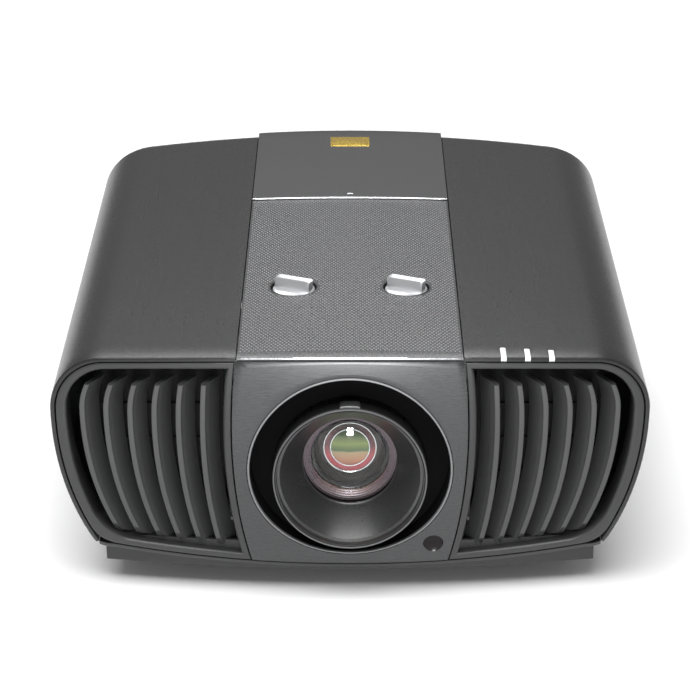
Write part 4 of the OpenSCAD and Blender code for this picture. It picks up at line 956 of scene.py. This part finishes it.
# Painted reflection on the inner element: bright red below, near black at the top.
RED_PAINTED_REFLECTION = coating_with_painted_reflection("red_coating_painted_reflection", LENS_Z, 19.0, (
    (0.0, (0.75, 0.10, 0.13)), (0.35, (0.60, 0.09, 0.11)), (0.55, (0.16, 0.03, 0.04)),
    (1.0, (0.015, 0.01, 0.01))))


def dome(radius, edge, sag, rings, thick):
    """Closed profile of a convex disc that bulges towards the front, its edge counted from the cell's."""
    curve = (radius**2 + sag**2) / (2 * sag)
    y_edge = CELL_Y + edge
    profile = []
    for k in range(rings + 1):
        r = radius * k / rings
        profile.append((max(r, 0.01), y_edge - (math.sqrt(curve**2 - r * r) - (curve - sag))))
    profile += [(radius, y_edge + thick), (0.01, y_edge + thick)]
    return profile


GLASS_PROFILE = dome(31.0, 9.0, 6.0, 16, 1.6)
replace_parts(lens_part("front_glass", 0.0, GLASS_PROFILE, GLASS, "front_glass_unit", 128), "front_lens")

# Black sleeve behind the front glass, with its thin bright retaining rings and the inner coated elements
SLEEVE_PROFILE = ((31.0, 12.0), (29.6, 12.0), (28.8, 13.0), (26.5, 15.0), (25.8, 15.2), (23.2, 18.0),
                  (22.6, 18.2), (20.2, 21.0), (19.9, 23.5), (31.0, 23.5))
INNER_RING = ((19.9, 21.6), (19.6, 21.1), (18.9, 21.2), (18.7, 21.8), (19.9, 22.4))
PUPIL_RING = ((14.9, 21.2), (14.6, 20.9), (14.0, 20.9), (13.8, 21.2), (14.9, 23.0))
lens_part("inner_sleeve", CELL_Y, SLEEVE_PROFILE, SLEEVE, "front_glass_unit", 128, sharp=20.0)
lens_part("inner_ring_bright", CELL_Y, INNER_RING, CHROME, "front_glass_unit", 96)
lens_part("inner_element", 0.0, dome(18.9, 23.0, 1.8, 10, 0.4), RED_PAINTED_REFLECTION, "front_glass_unit", 96)
lens_part("pupil_ring_bright", CELL_Y, PUPIL_RING, CHROME, "front_glass_unit", 96)
lens_part("pupil_element", 0.0, dome(14.2, 21.9, 1.6, 10, 0.6), PUPIL_PAINTED_REFLECTION, "front_glass_unit", 96)

# ---- Shift knobs ----

BAR_TOP = box_mm("vertical_shift_knob")[1][2]
BAR_REACH = 15.45
BAR_TURN = math.radians(-24.0)
DISC = ((0.01, -8.4), (17.4, -8.4), (17.4, -1.7), (17.0, -1.15), (15.6, -0.6), (12.0, -0.15), (7.0, 0.1),
        (0.01, 0.15))


def knob_piece(name, side, body):
    """Domed disc, and a grip bar with lengthwise ribs that stands across it."""
    disc = [(r, KNOB_TOP + z) for r, z in DISC]
    base = turned(f"{name}_disc", disc, KNOB, body, (side * KNOB_X, KNOB_Y, 0), "Z", steps=96)
    profile = []
    half, top = 4.0, BAR_TOP
    for k in range(33):
        t = k / 32
        x = -half + 2 * half * t
        ridge = 0.42 * math.cos(2 * math.pi * 3 * t) if 0.08 < t < 0.92 else 0.42
        round_off = 1.1 * max(0.0, abs(2 * t - 1) - 0.8) / 0.2
        profile.append((x, top - 0.42 + ridge - round_off**2))
    section = [(-half, KNOB_TOP - 1.5)] + profile + [(half, KNOB_TOP - 1.5)]
    rows = []
    for k in range(25):
        t = -1 + 2 * k / 24
        end = max(0.0, abs(t) - 0.88) / 0.12
        drop = 1.0 * (1 - math.sqrt(max(0.0, 1 - end**2)))
        row = []
        for x, z in section:
            row.append((BAR_REACH * t, x * (1 - 0.05 * end**3), min(z, z - drop) if z > KNOB_TOP else z))
        rows.append(row)
    c, s = math.cos(BAR_TURN), math.sin(BAR_TURN)
    placed = [[(side * KNOB_X + x * c - y * s, KNOB_Y + x * s + y * c, z) for x, y, z in row] for row in rows]
    loft(f"{name}_bar", placed, KNOB, body, sharp=40.0)
    return base


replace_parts(knob_piece("vertical_knob", -1, "vertical_knob_unit"), "vertical_shift_knob")
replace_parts(knob_piece("horizontal_knob", 1, "horizontal_knob_unit"), "horizontal_shift_knob")

# ---- Light pipes ----


def pipe_rows(x0):
    """Light pipe that wraps over the front edge of the right cover, its corners rounded off."""
    rows = []
    wide = 4.4
    for k in range(9):
        t = -1 + 2 * k / 8
        x = x0 + wide / 2 * t
        z = crown_z(x) + 0.12 - 0.25 * abs(t) ** 6
        y_front = front_at(x, z) + 0.15 + 0.25 * abs(t) ** 6
        row = [(x, y_front, z - 3.3), (x, y_front, z - 0.9), (x, y_front + 0.25, z - 0.3), (x, y_front + 0.9, z)]
        row += [(x, y_front + 0.9 + (PIPE_HIGH[1] - 0.4 - y_front - 0.9) * j / 5, z) for j in range(1, 6)]
        row += [(x, PIPE_HIGH[1], z - 0.4), (x, PIPE_HIGH[1], z - 3.3)]
        rows.append(row)
    return rows


PIPES = [loft(f"light_pipe_{n + 1}", pipe_rows(x), PIPE) for n, x in enumerate(PIPE_XS)]
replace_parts(PIPES[0], "light_pipes")

# ---- Fine black mesh inside the rear vents, which closes the view through the case ----


def vent_mesh_rows():
    low, high = BACK_Z - 62.0, BACK_Z + 26.0
    rows = []
    for k in range(13):
        x = -HALF_W + 42.0 + 116.0 * k / 12
        levels = [low + (high - low) * j / 8 for j in range(9)]
        outside = [(x, back_at(x, z, WALL) - 0.4, z) for z in levels]
        rows.append(outside + [(x, y - 0.8, z) for x, y, z in reversed(outside)])
    return rows


loft("rear_vent_mesh", vent_mesh_rows(), MESH)

# ---- Pieces that keep their CAD shape get their own finish and softened edges ----

FINISH = {
    "bottom_tray": (TRAY, 0.8), "rear_spine": (BLACK, 0.3), "left_dust_filter": (MESH, 0.0),
    "right_dust_filter": (MESH, 0.0), "rear_panel": (TRAY, 0.5), "tray_screws": (STEEL, 0.2),
    "lens_base_plate": (ALLOY, 0.4), "vertical_guide_rods": (STEEL, 0.3),
    "vertical_shift_frame": (ALLOY, 0.4), "horizontal_guide_rods": (STEEL, 0.3),
    "lens_carriage": (ALLOY, 0.4), "lens_barrel": (BLACK, 0.3), "lens_shroud": (DARK, 0.2),
    "zoom_ring": (BLACK, 0.3), "zoom_lens_cell": (BRASS, 0.3), "vertical_lead_screw": (BRASS, 0.2),
    "horizontal_pinion_shaft": (BRASS, 0.0), "engine_housing": (ALLOY, 0.5), "engine_optics": (GLASS, 0.0),
    "dmd_board": (BOARD, 0.2), "colour_wheel": (RED_PAINTED_REFLECTION, 0.1), "colour_wheel_motor": (TRAY, 0.4),
    "lamp_module": (TRAY, 0.6), "lamp_ballast": (SHEET, 0.4), "power_supply": (BOARD, 0.3),
    "main_board": (BOARD, 0.3), "left_fan_frame": (BLACK, 0.3), "left_fan_rotor": (BLACK, 0.2),
    "right_fan_frame": (BLACK, 0.3), "right_fan_rotor": (BLACK, 0.2), "signal_connectors": (SHEET, 0.2),
    "power_inlet": (BLACK, 0.3), "left_foot_pad": (RUBBER, 0.6), "left_foot_screw": (STEEL, 0.2),
    "right_foot_pad": (RUBBER, 0.6), "right_foot_screw": (STEEL, 0.2), "rear_feet": (RUBBER, 0.6),
    "power_button": (KEY, 0.5), "menu_button": (KEY, 0.4), "back_button": (KEY, 0.4),
    "arrow_ring": (KEY, 0.5),
}
for name, (skin, width) in FINISH.items():
    node = NODES[name]
    node.data.materials.clear()
    node.data.materials.append(skin)
    if width:
        soften = node.modifiers.new("edges", "BEVEL")
        soften.width = width * MM
        soften.segments = 2
        soften.limit_method = "ANGLE"
        soften.angle_limit = math.radians(40)

# ---- Floor, light and camera ----


def plain(name, colour, rough):
    made = bpy.data.materials.new(name)
    made.use_nodes = True
    made.node_tree.nodes["Principled BSDF"].inputs["Base Color"].default_value = list(colour) + [1]
    made.node_tree.nodes["Principled BSDF"].inputs["Roughness"].default_value = rough
    return made


FLOOR_HALF = 12.0
floor_mesh = bpy.data.meshes.new("floor")
floor_corners = [(x * FLOOR_HALF, y * FLOOR_HALF, 0) for x, y in ((-1, -1), (1, -1), (1, 1), (-1, 1))]
floor_mesh.from_pydata(floor_corners, [], [(0, 1, 2, 3)])
floor_mesh.materials.append(plain("floor_pale", (0.93, 0.93, 0.93), 0.8))
floor = bpy.data.objects.new("floor", floor_mesh)
bpy.context.scene.collection.objects.link(floor)


def area(name, place, target, wide, tall, power):
    """Rectangular light in metres and watts that faces a target."""
    lamp = bpy.data.lights.new(name, "AREA")
    lamp.energy = power
    lamp.shape = "RECTANGLE"
    lamp.size, lamp.size_y = wide, tall
    made = bpy.data.objects.new(name, lamp)
    made.location = place
    made.rotation_euler = (Vector(target) - Vector(place)).to_track_quat("-Z", "Y").to_euler()
    bpy.context.scene.collection.objects.link(made)


area("back_soft", (-0.4, 2.5, 2.55), (0, -0.1, 0.2), 2.6, 0.5, 42.0)
area("top_soft", (-0.2, -1.25, 2.9), (0, -0.3, 0.1), 2.6, 2.0, 125.0)
area("front_soft", (0.0, -3.4, 0.36), (0, -0.2, 0.18), 0.42, 0.55, 38.0)
world = bpy.context.scene.world or bpy.data.worlds.new("world")
bpy.context.scene.world = world
world.use_nodes = True
sky = world.node_tree.nodes.get("Background") or world.node_tree.nodes.new("ShaderNodeBackground")
sky.inputs["Color"].default_value = (1, 1, 1, 1)
sky.inputs["Strength"].default_value = 0.29

bpy.context.scene.view_settings.view_transform = "Standard"
FOCAL_PIXELS, IMAGE_PIXELS, SENSOR = 2558.0, 700.0, 36.0
EYE_BACK, EYE_UP, EYE_DOWN_TILT = 1807.6, 784.7, 23.3
eye = bpy.data.cameras.new("eye")
eye.lens = FOCAL_PIXELS * SENSOR / IMAGE_PIXELS
eye.sensor_width = SENSOR
eye.clip_end = 50.0
camera = bpy.data.objects.new("camera", eye)
camera.location = (0.0, (EDGE_Y - EYE_BACK) * MM, (TOP_Z + EYE_UP) * MM)
camera.rotation_euler = (math.radians(90.0 - EYE_DOWN_TILT), 0.0, 0.0)
bpy.context.scene.collection.objects.link(camera)
bpy.context.scene.camera = camera
